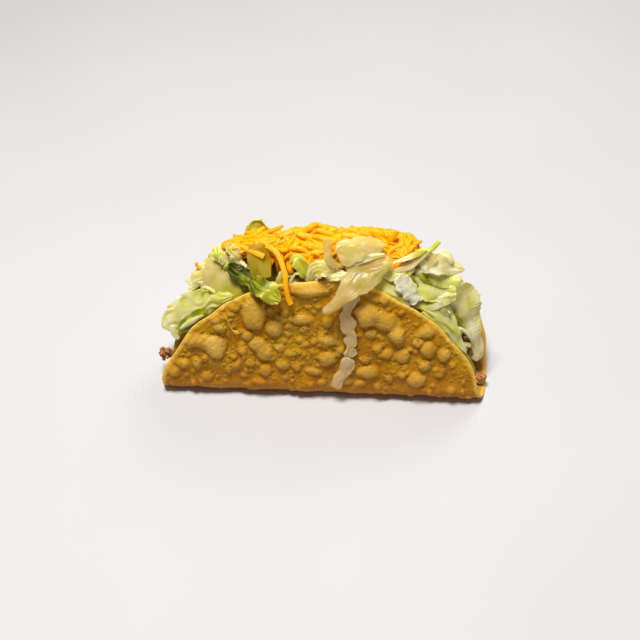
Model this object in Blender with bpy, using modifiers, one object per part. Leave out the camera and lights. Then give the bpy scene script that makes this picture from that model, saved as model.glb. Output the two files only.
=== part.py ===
"""A crisp corn taco: a folded shell with meat along its fold, lettuce and grated cheese.

X runs along the fold, +Y points from the front wall to the rear wall, and Z is up.  The
origin lies in the flat underside of the fold, midway along it.  Sizes are in metres.
"""
import math

import bmesh
import bpy
import numpy as np
from mathutils import Vector

MM = 0.001
GAP = 0.3 * MM

# The shell is a round tortilla of about 137 mm, folded and fried.  A place on it is given
# by x and by s, the way along its outer face from the fold: s < 0 up the front wall.
HALF_LENGTH = 68 * MM
THICKNESS = 2 * MM
FRONT_REACH = 69 * MM
REAR_REACH = 71.5 * MM
DISC_CENTRE = 6.4 * MM
REAR_SHIFT = 6.0 * MM
REAR_NARROWING = 0.04
SHIFT_START = -14 * MM
SHIFT_END = 48 * MM
END_FLAT = 3 * MM
FRONT = {"side": -1, "flat": 3 * MM, "radius": 7 * MM, "lean": math.radians(-13.3), "bend": -1.5}
REAR = {"side": 1, "flat": 19.2 * MM, "radius": 10 * MM, "lean": math.radians(39.5), "bend": -17.5}
GRID = 29
SETTLED = 0.3 * MM

# Fried blisters of the front wall: x, s, radius and height in mm.
FRONT_BLISTERS = (
    (-25, -49, 8.5, 2.2), (-41, -33, 7.0, 2.0), (-52, -34, 5.0, 1.2), (-24, -33, 7.0, 1.8),
    (-5, -58, 8.5, 1.4), (-7, -45, 6.0, 1.2), (19, -50, 5.5, 1.4), (28, -44, 8.5, 2.2),
    (38, -36, 6.5, 1.6), (43, -32, 6.0, 1.6), (21, -24, 6.0, 1.2), (40, -19, 5.0, 1.2),
)
REAR_BLISTERS = 12
BLISTER_SEED = 4

# Levels of the fillings, from the underside of the fold.
MEAT_TOP = 17 * MM
CHEESE_FLOOR = 57.5 * MM
FILLING_DEPTH = THICKNESS + 1.0 * MM

LEAF_THICKNESS = 0.9 * MM
LEAF_LENGTH_CELLS = 8
LEAF_WIDTH_CELLS = 3
FACING = (0.0, -0.62, 0.78)
WALL_FACING = (0.0, -0.97, -0.23)
ON_WALL = ("lettuce_tail", "lettuce_scrap")
LEAF_REACH = 6 * MM
LEAF_CLEARANCE = 1.8 * MM
CORE_RADIUS = 1.5 * MM
WALL_STEPS = 160


def material(name, colour, roughness):
    """A plain surface of one colour."""
    made = bpy.data.materials.new(name)
    made.use_nodes = True
    shader = made.node_tree.nodes["Principled BSDF"]
    shader.inputs["Base Color"].default_value = (*colour, 1.0)
    shader.inputs["Roughness"].default_value = roughness
    shader.inputs["Metallic"].default_value = 0.0
    return made


def wall_run(distance, wall, flat):
    """How far out and up the outer face has come at `distance` from the fold, and its slope.

    The face runs flat, turns through an arc and goes on as a wall whose lean from the
    vertical changes evenly by `bend` radians a metre.
    """
    radius, lean, bend = wall["radius"], wall["lean"], wall["bend"]
    arc = radius * (math.pi / 2 - lean)
    turn = np.clip(distance - flat, 0, arc) / radius
    rise = np.maximum(distance - flat - arc, 0)
    out = np.minimum(distance, flat) + radius * np.sin(turn)
    out = out + (math.cos(lean) - np.cos(lean + bend * rise)) / bend
    up = radius * (1 - np.cos(turn)) + (np.sin(lean + bend * rise) - math.sin(lean)) / bend
    slope = np.where(rise > 0, math.pi / 2 - lean - bend * rise, turn)
    return out, up, slope


def skew(s):
    """How far the fold's skew has taken hold at s: 0 on the front wall, 1 on the rear."""
    return np.clip((s - SHIFT_START) / (SHIFT_END - SHIFT_START), 0, 1)


def shell_point(x, s, depth=0.0):
    """The point at (x, s) of the shell, `depth` in from its outer face (negative is outside)."""
    x, s, depth = np.broadcast_arrays(np.asarray(x, float), s, depth)
    ends = np.clip(np.abs(x) / HALF_LENGTH, 0, 1) ** 2
    points = []
    for wall in (FRONT, REAR):
        flat = wall["flat"] * (1 - ends) + END_FLAT * ends
        out, up, slope = wall_run(np.maximum(wall["side"] * s, 0), wall, flat)
        y = wall["side"] * (out - depth * np.sin(slope))
        points.append((y, up + depth * np.cos(slope)))
    y = np.where(s > 0, points[1][0], points[0][0])
    z = np.where(s > 0, points[1][1], points[0][1])
    x = x * (1 - REAR_NARROWING * skew(s)) + REAR_SHIFT * skew(s)
    return np.stack((x, y, z), axis=-1)


def rear_blisters():
    """Blisters for the rear wall, spread by a seeded draw, in the units of FRONT_BLISTERS."""
    draw = np.random.default_rng(BLISTER_SEED)
    count = REAR_BLISTERS
    return np.stack((draw.uniform(-48, 48, count), draw.uniform(24, 66, count),
                     draw.uniform(5, 9, count), draw.uniform(1, 2.2, count)), axis=-1)


def blister_height(x, s):
    """How far the blisters lift the outer face at (x, s): one smooth dome for each."""
    height = np.zeros_like(x)
    for bx, bs, radius, lift in np.vstack((FRONT_BLISTERS, rear_blisters())) * MM:
        reach = np.hypot(x - bx, s - bs) / radius
        height = np.maximum(height, lift * np.clip(1 - reach ** 2, 0, 1) ** 1.5)
    return height


def new_object(name, mesh, surface, collection):
    """An object for `mesh` in its collection, shaded smooth."""
    mesh.materials.append(surface)
    mesh.shade_smooth()
    made = bpy.data.objects.new(name, mesh)
    collection.objects.link(made)
    return made


def grid_mesh(name, points):
    """A mesh over a grid of points, its faces wound along the rows and then the columns."""
    rows, columns = points.shape[:2]
    bm = bmesh.new()
    bmesh.ops.create_grid(bm, x_segments=columns - 1, y_segments=rows - 1, size=1.0)
    bm.verts.ensure_lookup_table()
    for vert, place in zip(bm.verts, points.reshape(-1, 3)):
        vert.co = Vector(place)
    mesh = bpy.data.meshes.new(name)
    bm.to_mesh(mesh)
    bm.free()
    return mesh


def solidify(target, thickness, offset):
    """Give an open surface a wall with closed edges."""
    wall = target.modifiers.new("wall", "SOLIDIFY")
    wall.thickness = thickness
    wall.offset = offset
    wall.use_even_offset = True


def build_shell(surface, collection):
    """The folded tortilla: a disc's grid laid over the fold, with blisters, then thickened.

    What lies within `SETTLED` of the surface it stands on is level with it.
    """
    row = np.linspace(-1, 1, GRID + 1)
    across, along = np.meshgrid(row, row)
    x = HALF_LENGTH * across * np.sqrt(1 - along ** 2 / 2)
    reach = np.where(along < 0, FRONT_REACH, REAR_REACH)
    s = DISC_CENTRE + reach * along * np.sqrt(1 - across ** 2 / 2)
    points = shell_point(x, s, -blister_height(x, s))
    points[..., 2] = np.where(points[..., 2] < SETTLED, 0, points[..., 2])
    shell = new_object("shell", grid_mesh("shell", points), surface, collection)
    solidify(shell, THICKNESS, 1.0)


def smooth_rows(rows, count):
    """`count` even steps along a smooth curve through the rows (Catmull-Rom)."""
    rows = np.asarray(rows, float)
    padded = np.vstack((2 * rows[0] - rows[1], rows, 2 * rows[-1] - rows[-2]))
    where = np.linspace(0, len(rows) - 1, count)
    span = np.minimum(where.astype(int), len(rows) - 2)
    t = (where - span)[:, None]
    a, b, c, d = (padded[span + k] for k in range(4))
    return 0.5 * (2 * b + (c - a) * t + (2 * a - 5 * b + 4 * c - d) * t ** 2
                  + (3 * b - a - 3 * c + d) * t ** 3)


def leaf_points(route, ruffle, waves, cup, facing):
    """The surface of a strip of leaf.

    `route` holds x, y, z and width in mm.  The strip turns its face to `facing`, is
    cupped across by `cup` and its edges wave by `ruffle`, both in mm.
    """
    rows = smooth_rows(route, LEAF_LENGTH_CELLS + 1)
    centre = rows[:, :3]
    width = np.maximum(rows[:, 3], 1.2)
    tangent = np.gradient(centre, axis=0)
    side = np.cross(facing, tangent)
    side /= np.linalg.norm(side, axis=1, keepdims=True)
    normal = np.cross(tangent, side)
    normal /= np.linalg.norm(normal, axis=1, keepdims=True)
    across = np.linspace(-1, 1, LEAF_WIDTH_CELLS + 1)
    phase = np.linspace(0, 1, len(rows))[:, None] * waves * 2 * math.pi
    lift = ruffle * np.sin(phase + 2.2 * across) * across ** 2 - cup * across ** 2
    points = centre[:, None] + side[:, None] * (across * width[:, None] / 2)[..., None]
    return (points + normal[:, None] * lift[..., None]) * MM


def on_front(x, s, lift):
    """A place in mm on the front wall, `lift` mm clear of its blisters."""
    x, s = np.array([x * MM]), np.array([s * MM])
    return tuple(shell_point(x, s, -lift * MM - blister_height(x, s))[0] / MM)


def wall_route(*steps, lift=1.7):
    """A route down the front wall, from steps of x, s and width in mm."""
    return [(*on_front(x, s, lift), width) for x, s, width in steps]


# Each leaf: its route (x, y, z, width in mm), edge wave, number of waves and cupping.
LEAVES = {
    "lettuce_low_left": ([(-38, 8.5, 40.5, 11), (-47, 8.5, 38, 14), (-58, 10, 32, 15), (-66, 12.5, 26, 11)],
                         1.2, 1.5, 1.0),
    "lettuce_left_green": ([(-44, 0.4, 33.5, 3), (-51, 0, 29, 5), (-58, 0.5, 22.5, 4)], 0.5, 1.0, 0.5),
    "lettuce_left_pale": ([(-43, 14.5, 53.5, 11), (-36, 12, 49.5, 17), (-26, 8, 45, 12)], 0.6, 0.5, 1.0),
    "lettuce_left_top": ([(-43, 18.5, 57.5, 4), (-39, 15, 59, 7), (-35, 11.5, 59, 4)], 0.8, 1.5, 0.6),
    "lettuce_green_fold": ([(-34, 9, 59, 6), (-29, 5, 56.5, 8), (-22, 1, 54, 8), (-15, -4.5, 48, 9)],
                           0.9, 2.0, 0.8),
    "lettuce_yellow": ([(-25, 11, 63.5, 7), (-21, 9, 60.5, 8), (-18, 7.5, 56, 6)], 0.4, 0.5, 1.0),
    "lettuce_ribbon": ([(31, 8, 61.5, 8), (24, 3.5, 63, 14), (16, 0.5, 59, 14), (8, -4, 51.5, 7),
                        (1, -5.5, 43.5, 2)], 0.9, 1.5, 1.2),
    "lettuce_tail": (wall_route((14, -55, 3), (14.5, -49, 4), (13, -42, 6), (14, -36, 4),
                                (12, -31, 6), (12, -28, 4)), 0.2, 2.0, 0.2),
    "lettuce_scrap": (wall_route((11.5, -26, 3), (13.5, -22, 6), (10, -17, 5), (6.5, -13, 4)),
                      0.2, 1.0, 0.2),
    "lettuce_clear_top": ([(6, 11, 63, 8), (14, 10.5, 63.5, 11), (24, 11.5, 63.5, 8)], 0.4, 1.0, 1.0),
    "lettuce_curl": ([(5, 7, 68, 4), (4.5, 3.5, 65, 5), (5.5, 1, 61.5, 5), (9.5, -1, 60.5, 3)], 0.3, 1.0, 0.6),
    "lettuce_middle": ([(-5, 5, 57, 5), (2, 4, 57.5, 7), (8, 5, 57, 6)], 0.9, 2.0, 0.6),
    "lettuce_green_chip": ([(-12, 7, 62, 4), (-9, 5, 58.5, 6), (-8, 4, 55, 5)], 0.6, 1.0, 0.6),
    "lettuce_white": ([(30, 4.5, 52, 6), (34, 4, 49.5, 8), (38, 3.5, 46, 5)], 0.8, 1.5, 0.6),
    "lettuce_thin_curl": ([(35, 9, 62, 2), (39, 11, 65, 3), (43, 13, 66.5, 3), (47, 15, 67, 2)],
                          0.3, 1.0, 0.3),
    "lettuce_top_right": ([(40, 9, 58, 6), (47, 10, 57, 10), (57, 14, 53, 5)], 0.9, 1.5, 1.0),
    "lettuce_right": ([(43, 5, 50, 8), (53, 5, 44, 17), (59.5, 5.5, 34, 15), (64, 5.5, 22, 8),
                       (66, 6, 11, 6)], 1.0, 2.0, 1.2),
    "lettuce_right_green": ([(53, -0.6, 29, 3), (58, -1.4, 22, 4), (61.5, -0.8, 14.5, 3)], 0.3, 1.0, 0.2),
    "lettuce_back": ([(-28, 23, 60, 3), (-24, 25, 62.5, 6), (-19, 26, 62, 3)], 0.6, 1.0, 0.8),
}


def build_leaf(name, shape, surface, collection):
    """One loose strip of lettuce; those on the front wall face straight out from it."""
    points = leaf_points(*shape, WALL_FACING if name in ON_WALL else FACING)
    leaf = new_object(name, grid_mesh(name, points), surface, collection)
    solidify(leaf, LEAF_THICKNESS, 0.0)
    return points.reshape(-1, 3)


# Mounds: centre, half length, reach to the front, rear, top and bottom, in mm.
MOUNDS = {
    "meat": {"centre": (2, 6, 8), "half": 63, "front": 30, "rear": 30, "top": 9, "bottom": 20,
             "blunt": 3.0, "ceiling": MEAT_TOP, "lump": 0.04, "cells": (24, 18)},
    "lettuce": {"centre": (1.5, 13, 34), "half": 61.5, "front": 26, "rear": 32, "top": 26, "bottom": 30,
                "blunt": 2.6, "droop": 10, "floor": MEAT_TOP + GAP, "ceiling": CHEESE_FLOOR - GAP, "lump": 0.04,
                "cells": (30, 22)},
    "cheese": {"centre": (4, 17, 59), "half": 38, "front": 14, "rear": 11, "top": 4.5, "bottom": 6,
               "blunt": 4.0, "floor": CHEESE_FLOOR, "lump": 0.05, "cells": (28, 18)},
}

# Crumbs of meat at the two ends: centre and radius in mm.
CRUMBS = ((-64.5, 2.3, 9.8, 2.8), (66.5, 0.5, 4.4, 2.1))
CRUMB_SQUASH = (1.0, 0.75, 0.85)


def inner_wall(x, centre, angle):
    """Distance from a centre in the section at x to the shell's inner face, by direction.

    The walls are carried on past their rims, up to their height amidships, so nothing
    bulges over a rim at the ends.
    """
    s = np.linspace(DISC_CENTRE - FRONT_REACH, DISC_CENTRE + REAR_REACH, WALL_STEPS)
    straight = (x - REAR_SHIFT * skew(s)) / (1 - REAR_NARROWING * skew(s))
    face = shell_point(straight, s, FILLING_DEPTH)
    y, z = face[:, 1] - centre[1], face[:, 2] - centre[2]
    around = np.mod(np.arctan2(-y, z), 2 * math.pi)
    order = np.argsort(around)
    return np.interp(angle, around[order], np.hypot(y, z)[order])


def lowest(*distances):
    """A soft minimum: a little under the smallest, so that edges come out rounded."""
    return sum(distance ** -10.0 for distance in distances) ** -0.1


def under_leaves(centre, ray, distance, leaves):
    """Hold a mound's surface back where a leaf lies over it."""
    offset = leaves[None] - centre[:, None]
    along = np.einsum("vlk,vk->vl", offset, ray)
    beside = np.linalg.norm(offset - along[..., None] * ray[:, None], axis=2)
    near = (beside < LEAF_REACH) & (along > 0)
    limit = np.where(near, along - LEAF_CLEARANCE, np.inf).min(axis=1)
    return np.minimum(distance, np.maximum(limit, CORE_RADIUS))


def build_mound(name, shape, leaves, surface, collection):
    """A filling: a sphere's mesh pulled out to the mound's uneven outline."""
    bm = bmesh.new()
    around, along = shape["cells"]
    bmesh.ops.create_uvsphere(bm, u_segments=around, v_segments=along, radius=1.0)
    sphere = np.array([vert.co for vert in bm.verts])
    axis = sphere[:, 2]
    angle = np.mod(np.arctan2(-sphere[:, 0], sphere[:, 1]), 2 * math.pi)
    middle = np.array(shape["centre"]) * MM
    centre = np.tile(middle, (len(axis), 1))
    centre[:, 0] += shape["half"] * MM * axis
    centre[:, 2] -= shape.get("droop", 0) * MM * axis ** 2
    ray = np.stack((np.zeros_like(axis), -np.sin(angle), np.cos(angle)), axis=-1)
    width = np.where(ray[:, 1] < 0, shape["front"], shape["rear"])
    height = np.where(ray[:, 2] > 0, shape["top"], shape["bottom"])
    reach = MM / np.hypot(ray[:, 1] / width, ray[:, 2] / height)
    taper = np.maximum(1 - np.abs(axis) ** shape["blunt"], 0) ** 0.5
    lumps = np.sin(11 * axis + 2 * angle) + np.sin(23 * axis - 5 * angle) + np.cos(7 * angle + 17 * axis)
    reach = reach * taper * (1 + shape["lump"] * lumps)
    wall = np.array([inner_wall(place[0], place, turn) for place, turn in zip(centre, angle)])
    limits = [np.maximum(reach, 0.1 * MM), wall]
    for level, sign in (("floor", -1), ("ceiling", 1)):
        if level in shape:
            toward = np.maximum(sign * ray[:, 2], 1e-3)
            limits.append(np.maximum(sign * (shape[level] - centre[:, 2]), 0.1 * MM) / toward)
    distance = under_leaves(centre, ray, lowest(*limits), leaves)
    for vert, place in zip(bm.verts, centre + ray * distance[:, None]):
        vert.co = Vector(place)
    mesh = bpy.data.meshes.new(name)
    bm.to_mesh(mesh)
    bm.free()
    new_object(name, mesh, surface, collection)


def build_crumbs(surface, collection):
    """Loose crumbs of meat, one at each end of the fold."""
    places = []
    for number, (x, y, z, radius) in enumerate(CRUMBS, start=1):
        bm = bmesh.new()
        bmesh.ops.create_icosphere(bm, subdivisions=2, radius=radius * MM)
        for vert in bm.verts:
            lump = 1 + 0.12 * math.sin(vert.co.x / MM * 2.1) * math.cos(vert.co.z / MM * 2.6)
            vert.co = Vector(CRUMB_SQUASH) * vert.co * lump + Vector((x, y, z)) * MM
            places.append(vert.co.copy())
        mesh = bpy.data.meshes.new(f"meat_crumb_{number}")
        bm.to_mesh(mesh)
        bm.free()
        new_object(f"meat_crumb_{number}", mesh, surface, collection)
    return np.array(places)


def build_strand(surface, collection):
    """One strand of cheese that hangs over the front rim."""
    route = [(-22, 8, 67), (-16, 5, 64), (-12.5, 1.5, 58.5), (-11.5, -3.5, 53), (-9.5, -5, 47.5)]
    curve = bpy.data.curves.new("cheese_strand", "CURVE")
    curve.dimensions = "3D"
    curve.bevel_depth = 0.9 * MM
    curve.bevel_resolution = 1
    curve.use_fill_caps = True
    line = curve.splines.new("POLY")
    points = smooth_rows(route, 13) * MM
    line.points.add(len(points) - 1)
    for point, place in zip(line.points, points):
        point.co = (*place, 1.0)
    strand = bpy.data.objects.new("cheese_strand", curve)
    curve.materials.append(surface)
    collection.objects.link(strand)
    return points


def main():
    for item in list(bpy.data.objects):
        bpy.data.objects.remove(item, do_unlink=True)
    collection = bpy.data.collections.new("taco")
    bpy.context.scene.collection.children.link(collection)
    crisp = material("fried_corn", (0.62, 0.34, 0.07), 0.45)
    pale = material("lettuce_pale", (0.62, 0.66, 0.33), 0.3)
    green = material("lettuce_green", (0.25, 0.42, 0.06), 0.3)
    cheddar = material("cheddar", (0.86, 0.42, 0.04), 0.35)
    beef = material("ground_beef", (0.22, 0.11, 0.05), 0.55)
    build_shell(crisp, collection)
    over = []
    for name, shape in LEAVES.items():
        surface = green if "green" in name or "back" in name else pale
        over.append(build_leaf(name, shape, surface, collection))
    over.append(build_strand(cheddar, collection))
    over.append(build_crumbs(beef, collection))
    over = np.vstack(over)
    surfaces = {"meat": beef, "lettuce": pale, "cheese": cheddar}
    for name, shape in MOUNDS.items():
        build_mound(name, shape, over, surfaces[name], collection)


main()
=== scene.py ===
"""The looks of a filled corn taco: blistered shell, ground meat, shredded lettuce and grated cheddar.

X runs along the fold, +Y points from the front wall to the rear wall, and Z is up.  Shapes are
worked out in millimetres and turned into metres as they become meshes.
"""

import math

import bpy
import numpy as np
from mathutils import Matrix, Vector


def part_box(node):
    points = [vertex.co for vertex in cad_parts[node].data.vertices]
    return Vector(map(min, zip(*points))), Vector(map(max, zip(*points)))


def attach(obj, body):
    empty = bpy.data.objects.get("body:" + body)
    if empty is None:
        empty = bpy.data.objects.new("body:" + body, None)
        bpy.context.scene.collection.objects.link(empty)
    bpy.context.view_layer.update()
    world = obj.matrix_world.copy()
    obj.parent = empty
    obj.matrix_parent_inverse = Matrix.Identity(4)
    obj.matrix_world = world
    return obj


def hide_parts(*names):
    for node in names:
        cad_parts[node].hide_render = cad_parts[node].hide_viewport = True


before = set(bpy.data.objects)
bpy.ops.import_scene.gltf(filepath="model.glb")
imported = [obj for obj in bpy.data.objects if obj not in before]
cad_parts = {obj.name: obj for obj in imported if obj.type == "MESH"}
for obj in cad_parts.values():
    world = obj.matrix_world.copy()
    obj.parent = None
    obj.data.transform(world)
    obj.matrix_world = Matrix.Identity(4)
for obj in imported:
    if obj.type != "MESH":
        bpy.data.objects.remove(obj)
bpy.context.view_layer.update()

MM = 0.001
BODY = "root"

# The shell: a round tortilla folded and fried.  A place on it is given by x and by s, the way
# along its outer face from the fold, with s < 0 up the front wall.  The tortilla's middle is at
# DISC_CENTRE, and it reaches less far up the front wall than up the rear one.  From SHIFT_START to
# SHIFT_END the rear wall comes to lie further right and gets narrower.  A wall starts with its
# share of the flat underside, turns up through an arc and goes on with a lean that changes by
# `bend` radians a millimetre.
HALF_LENGTH = 68.0
THICKNESS = 2.0
RIM_THICKNESS = 1.2
FRONT_REACH = 69.0
REAR_REACH = 71.5
DISC_CENTRE = 6.4
REAR_SHIFT = 6.0
REAR_NARROWING = 0.04
SHIFT_START = -14.0
SHIFT_END = 48.0
END_FLAT = 3.0
FRONT = {"side": -1, "flat": 3.0, "radius": 7.0, "lean": math.radians(-13.3), "bend": -0.0015}
REAR = {"side": 1, "flat": 19.2, "radius": 10.0, "lean": math.radians(39.5), "bend": -0.0175}
SHELL_COLUMNS = 281
SHELL_ROWS = 251
RIM_BULGE = 1.004

# The large blisters of the front wall: x, s, half width along x and half along s.
FRONT_BLISTERS = (
    (-26.5, -48, 5.4, 7.4), (-34, -50, 2.2, 1.8), (-42, -45, 2.2, 2.7), (-35, -47, 1.7, 1.1),
    (-40, -41, 2.5, 2.3), (-42, -32, 4.8, 5.4), (-50.5, -34.5, 4.8, 3.2), (-46, -34, 3.6, 4.0),
    (-29, -37.5, 2.4, 2.5), (-25, -34, 3.7, 4.0), (-22.5, -30.5, 3.7, 4.0), (-18.5, -42, 3.8, 4.0),
    (-31.5, -31, 2.3, 2.3), (-35, -27.5, 1.7, 1.3), (-50, -24, 2.5, 3.2), (-56, -23.5, 2.9, 2.4),
    (-59.5, -19.5, 2.8, 3.0), (-46, -17.5, 2.9, 2.3), (-37.5, -21, 1.7, 1.9), (-33.5, -23.5, 2.1, 1.9),
    (-22, -22, 2.9, 3.2), (-31, -18.5, 2.0, 1.5), (-15, -24.5, 3.1, 2.3), (-9, -23.5, 1.9, 2.2),
    (-2.5, -22, 3.5, 2.1), (-24.5, -16, 2.9, 1.5), (-16, -33, 2.2, 2.2), (-12, -30, 2.6, 1.4),
    (-14, -48.5, 1.8, 1.7), (-28, -25, 2.2, 1.8), (18, -49, 5.1, 5.6), (17.5, -53, 2.7, 2.2),
    (21, -56, 2.5, 1.7), (26, -46.5, 4.7, 4.4), (30, -41, 4.0, 4.0), (23.5, -49, 3.2, 2.8),
    (20, -41, 2.8, 2.5), (22.5, -34, 2.2, 2.1), (27, -31.5, 2.5, 2.6), (33, -31, 3.2, 3.5),
    (42, -43, 3.6, 3.2), (38.5, -37.5, 3.0, 2.3), (43, -34.5, 3.3, 4.0), (49, -32, 3.2, 3.2),
    (42, -27, 2.8, 2.3), (18, -28.5, 2.6, 1.9), (20, -23, 4.3, 3.2), (39, -20, 3.9, 3.6),
    (16, -17, 2.1, 1.8), (11, -18.5, 2.8, 2.4), (3, -28.5, 3.8, 3.6), (2.5, -37, 4.2, 2.3),
    (8, -33, 2.0, 2.0), (2.5, -45, 2.5, 2.3), (-8, -46, 5.4, 2.5), (-5, -51.5, 1.7, 1.3),
    (-1, -52, 1.5, 1.3), (33, -22, 2.1, 1.8), (28, -19.5, 1.7, 1.9), (48, -22.5, 2.6, 1.7),
    (26, -51.5, 1.4, 1.1), (29, -50.5, 1.4, 1.2), (23, -39.5, 1.2, 1.3), (-39, -49.5, 2.0, 1.2),
    (-23, -52, 1.7, 1.2), (-6, -34.5, 1.4, 1.4), (-9, -31, 1.4, 1.4), (-3, -31.5, 1.4, 1.4),
    (-1, -25, 1.7, 1.4), (-7, -41, 1.7, 1.4), (-13, -39, 1.7, 1.4), (-5.5, -59.5, 9.5, 3.4),
)
REAR_WALL_FROM = 14.0
BLISTER_SHARE = 0.62
BLISTER_POWER = 0.62
TALLEST_BLISTER = 5.5


# ---------------------------------------------------------------- numbers and meshes

def smooth(low, high, value):
    """0 below `low`, 1 above `high`, and 3t² - 2t³ in between."""
    t = np.clip((value - low) / (high - low), 0, 1)
    return t * t * (3 - 2 * t)


def ripple(places, wavelength, seed, waves=18):
    """A smooth random field, mostly within -1 and 1, over places of two or three coordinates.

    It is the sum of cosines in random directions, of wavelengths from 0.7 to 1.5 times the one given.
    """
    draw = np.random.default_rng(seed)
    turns = draw.normal(size=(waves, places.shape[-1]))
    turns /= np.linalg.norm(turns, axis=1, keepdims=True)
    turns *= 2 * math.pi / (wavelength * draw.uniform(0.7, 1.5, (waves, 1)))
    waves_at = np.cos(places @ turns.T + draw.uniform(0, 2 * math.pi, waves))
    return waves_at.sum(-1) * math.sqrt(2 / waves) / 1.6


def unit(vectors):
    """Vectors scaled to length 1."""
    return vectors / np.maximum(np.linalg.norm(vectors, axis=-1, keepdims=True), 1e-9)


def grid_faces(rows, columns, start=0, around=False):
    """The quads of a grid of rows × columns points; `around` also joins the last column to the first."""
    row = np.arange(rows - 1)[:, None] * columns
    column = np.arange(columns if around else columns - 1)[None]
    beside = (column + 1) % columns
    corners = (row + column, row + beside, row + columns + beside, row + columns + column)
    return np.stack(corners, axis=-1).reshape(-1, 4) + start


def repeated(faces, copies, size):
    """The same faces for `copies` shapes of `size` points each, one after the other."""
    return (faces[None] + np.arange(copies)[:, None, None] * size).reshape(-1, faces.shape[1])


def new_piece(name, places, faces, finish, replaces=(), fields=None, wall=0.0):
    """A piece of the taco from places in mm and lists of faces, with its finish.

    `fields` are values at the points that the finish reads; `wall` turns a sheet into a closed one.
    """
    mesh = bpy.data.meshes.new(name)
    listed = [face for group in faces for face in group.tolist()]
    mesh.from_pydata((places.reshape(-1, 3) * MM).tolist(), [], listed)
    for key, values in (fields or {}).items():
        attribute = mesh.attributes.new(key, "FLOAT", "POINT")
        attribute.data.foreach_set("value", np.asarray(values, np.float32).ravel())
    mesh.shade_smooth()
    mesh.materials.append(finish)
    piece = bpy.data.objects.new(name, mesh)
    bpy.context.scene.collection.objects.link(piece)
    if wall:
        solidify = piece.modifiers.new("wall", "SOLIDIFY")
        solidify.thickness = wall * MM
        solidify.offset = 0.0
        solidify.use_even_offset = False
    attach(piece, BODY)
    if replaces:
        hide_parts(*replaces)


# ---------------------------------------------------------------- finishes

class Value:
    """A number that changes over a surface: the operators add the Math nodes that work it out."""

    def __init__(self, finish, socket):
        self.finish = finish
        self.socket = socket

    def math(self, operation, *numbers):
        """What one Math node makes of the numbers."""
        node = self.finish.node("ShaderNodeMath", {"operation": operation}, *numbers)
        return Value(self.finish, node.outputs[0])

    def __add__(self, other):
        return self.math("ADD", self, other)

    def __radd__(self, other):
        return self.math("ADD", other, self)

    def __sub__(self, other):
        return self.math("SUBTRACT", self, other)

    def __rsub__(self, other):
        return self.math("SUBTRACT", other, self)

    def __mul__(self, other):
        return self.math("MULTIPLY", self, other)

    def __rmul__(self, other):
        return self.math("MULTIPLY", other, self)

    def above(self, low, high):
        """0 below `low`, 1 above `high` and a smooth step between; `low` may be the larger."""
        settings = {"interpolation_type": "SMOOTHSTEP"}
        node = self.finish.node("ShaderNodeMapRange", settings, self, low, high, 0.0, 1.0)
        return Value(self.finish, node.outputs[0])


class Finish:
    """A material, with short ways to make the nodes that colour it."""

    def __init__(self, name, **sockets):
        self.material = bpy.data.materials.new(name)
        self.material.use_nodes = True
        self.tree = self.material.node_tree
        self.shader = self.tree.nodes["Principled BSDF"]
        self.place = self.node("ShaderNodeTexCoord").outputs["Object"]
        self.paint(**sockets)

    def feed(self, socket, value):
        """Set a socket to a number or a colour, or link what has been worked out to it."""
        value = getattr(value, "socket", value)
        if isinstance(value, bpy.types.NodeSocket):
            self.tree.links.new(value, socket)
        else:
            socket.default_value = value

    def node(self, kind, settings=None, *values, **named):
        """A node of one kind: its settings first, then its sockets' values or links."""
        made = self.tree.nodes.new(kind)
        for key, value in (settings or {}).items():
            setattr(made, key, value)
        for number, value in enumerate(values):
            self.feed(made.inputs[number], value)
        for key, value in named.items():
            self.feed(made.inputs[key], value)
        return made

    def noise(self, size, detail=2.0, where=None):
        """Cloudy noise of features about `size` mm across, from 0 to 1."""
        made = self.node("ShaderNodeTexNoise", None, Vector=where or self.place, Scale=1 / (size * MM),
                         Detail=detail)
        return Value(self, made.outputs[0])

    def cells(self, size, feature="F1", where=None):
        """Distance, in cell sizes, to the middle or the edge of random cells of about `size` mm."""
        made = self.node("ShaderNodeTexVoronoi", {"feature": feature}, Vector=where or self.place,
                         Scale=1 / (size * MM))
        return Value(self, made.outputs["Distance"])

    def field(self, name):
        """The value that the piece's mesh holds at each point under this name."""
        return Value(self, self.node("ShaderNodeAttribute", {"attribute_name": name}).outputs["Fac"])

    def mix(self, factor, first, second):
        """A colour that goes from the first to the second as the factor goes from 0 to 1.

        A Mix node's sockets 0, 6 and 7 are its factor and its two colours, and its output 2 is a colour.
        """
        made = self.node("ShaderNodeMix", {"data_type": "RGBA"})
        for number, value in ((0, factor), (6, first), (7, second)):
            self.feed(made.inputs[number], value)
        return made.outputs[2]

    def ramp(self, factor, *stops):
        """A colour that runs through stops of (place from 0 to 1, red, green, blue as shown)."""
        made = self.node("ShaderNodeValToRGB", None, factor)
        elements = made.color_ramp.elements
        for element, stop in zip(elements, (stops[0], stops[-1])):
            element.position, element.color = stop[0], tint(*stop[1:])
        for stop in stops[1:-1]:
            elements.new(stop[0]).color = tint(*stop[1:])
        return made.outputs[0]

    def paint(self, **sockets):
        """Set or link the shader's own sockets, named with _ for a space, and give the material."""
        for key, value in sockets.items():
            self.feed(self.shader.inputs[key.replace("_", " ")], value)
        return self.material

    def relief(self, height, depth):
        """A normal from a height of `depth` mm where the value is 1."""
        made = self.node("ShaderNodeBump", None, Strength=1.0, Distance=depth * MM, Height=height)
        return made.outputs[0]


def tint(red, green, blue):
    """A colour given as it shows on a screen, 0 to 255, as linear light."""
    shown = np.array((red, green, blue)) / 255
    linear = np.where(shown <= 0.04045, shown / 12.92, ((shown + 0.055) / 1.055) ** 2.4)
    return (*linear.tolist(), 1.0)


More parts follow.
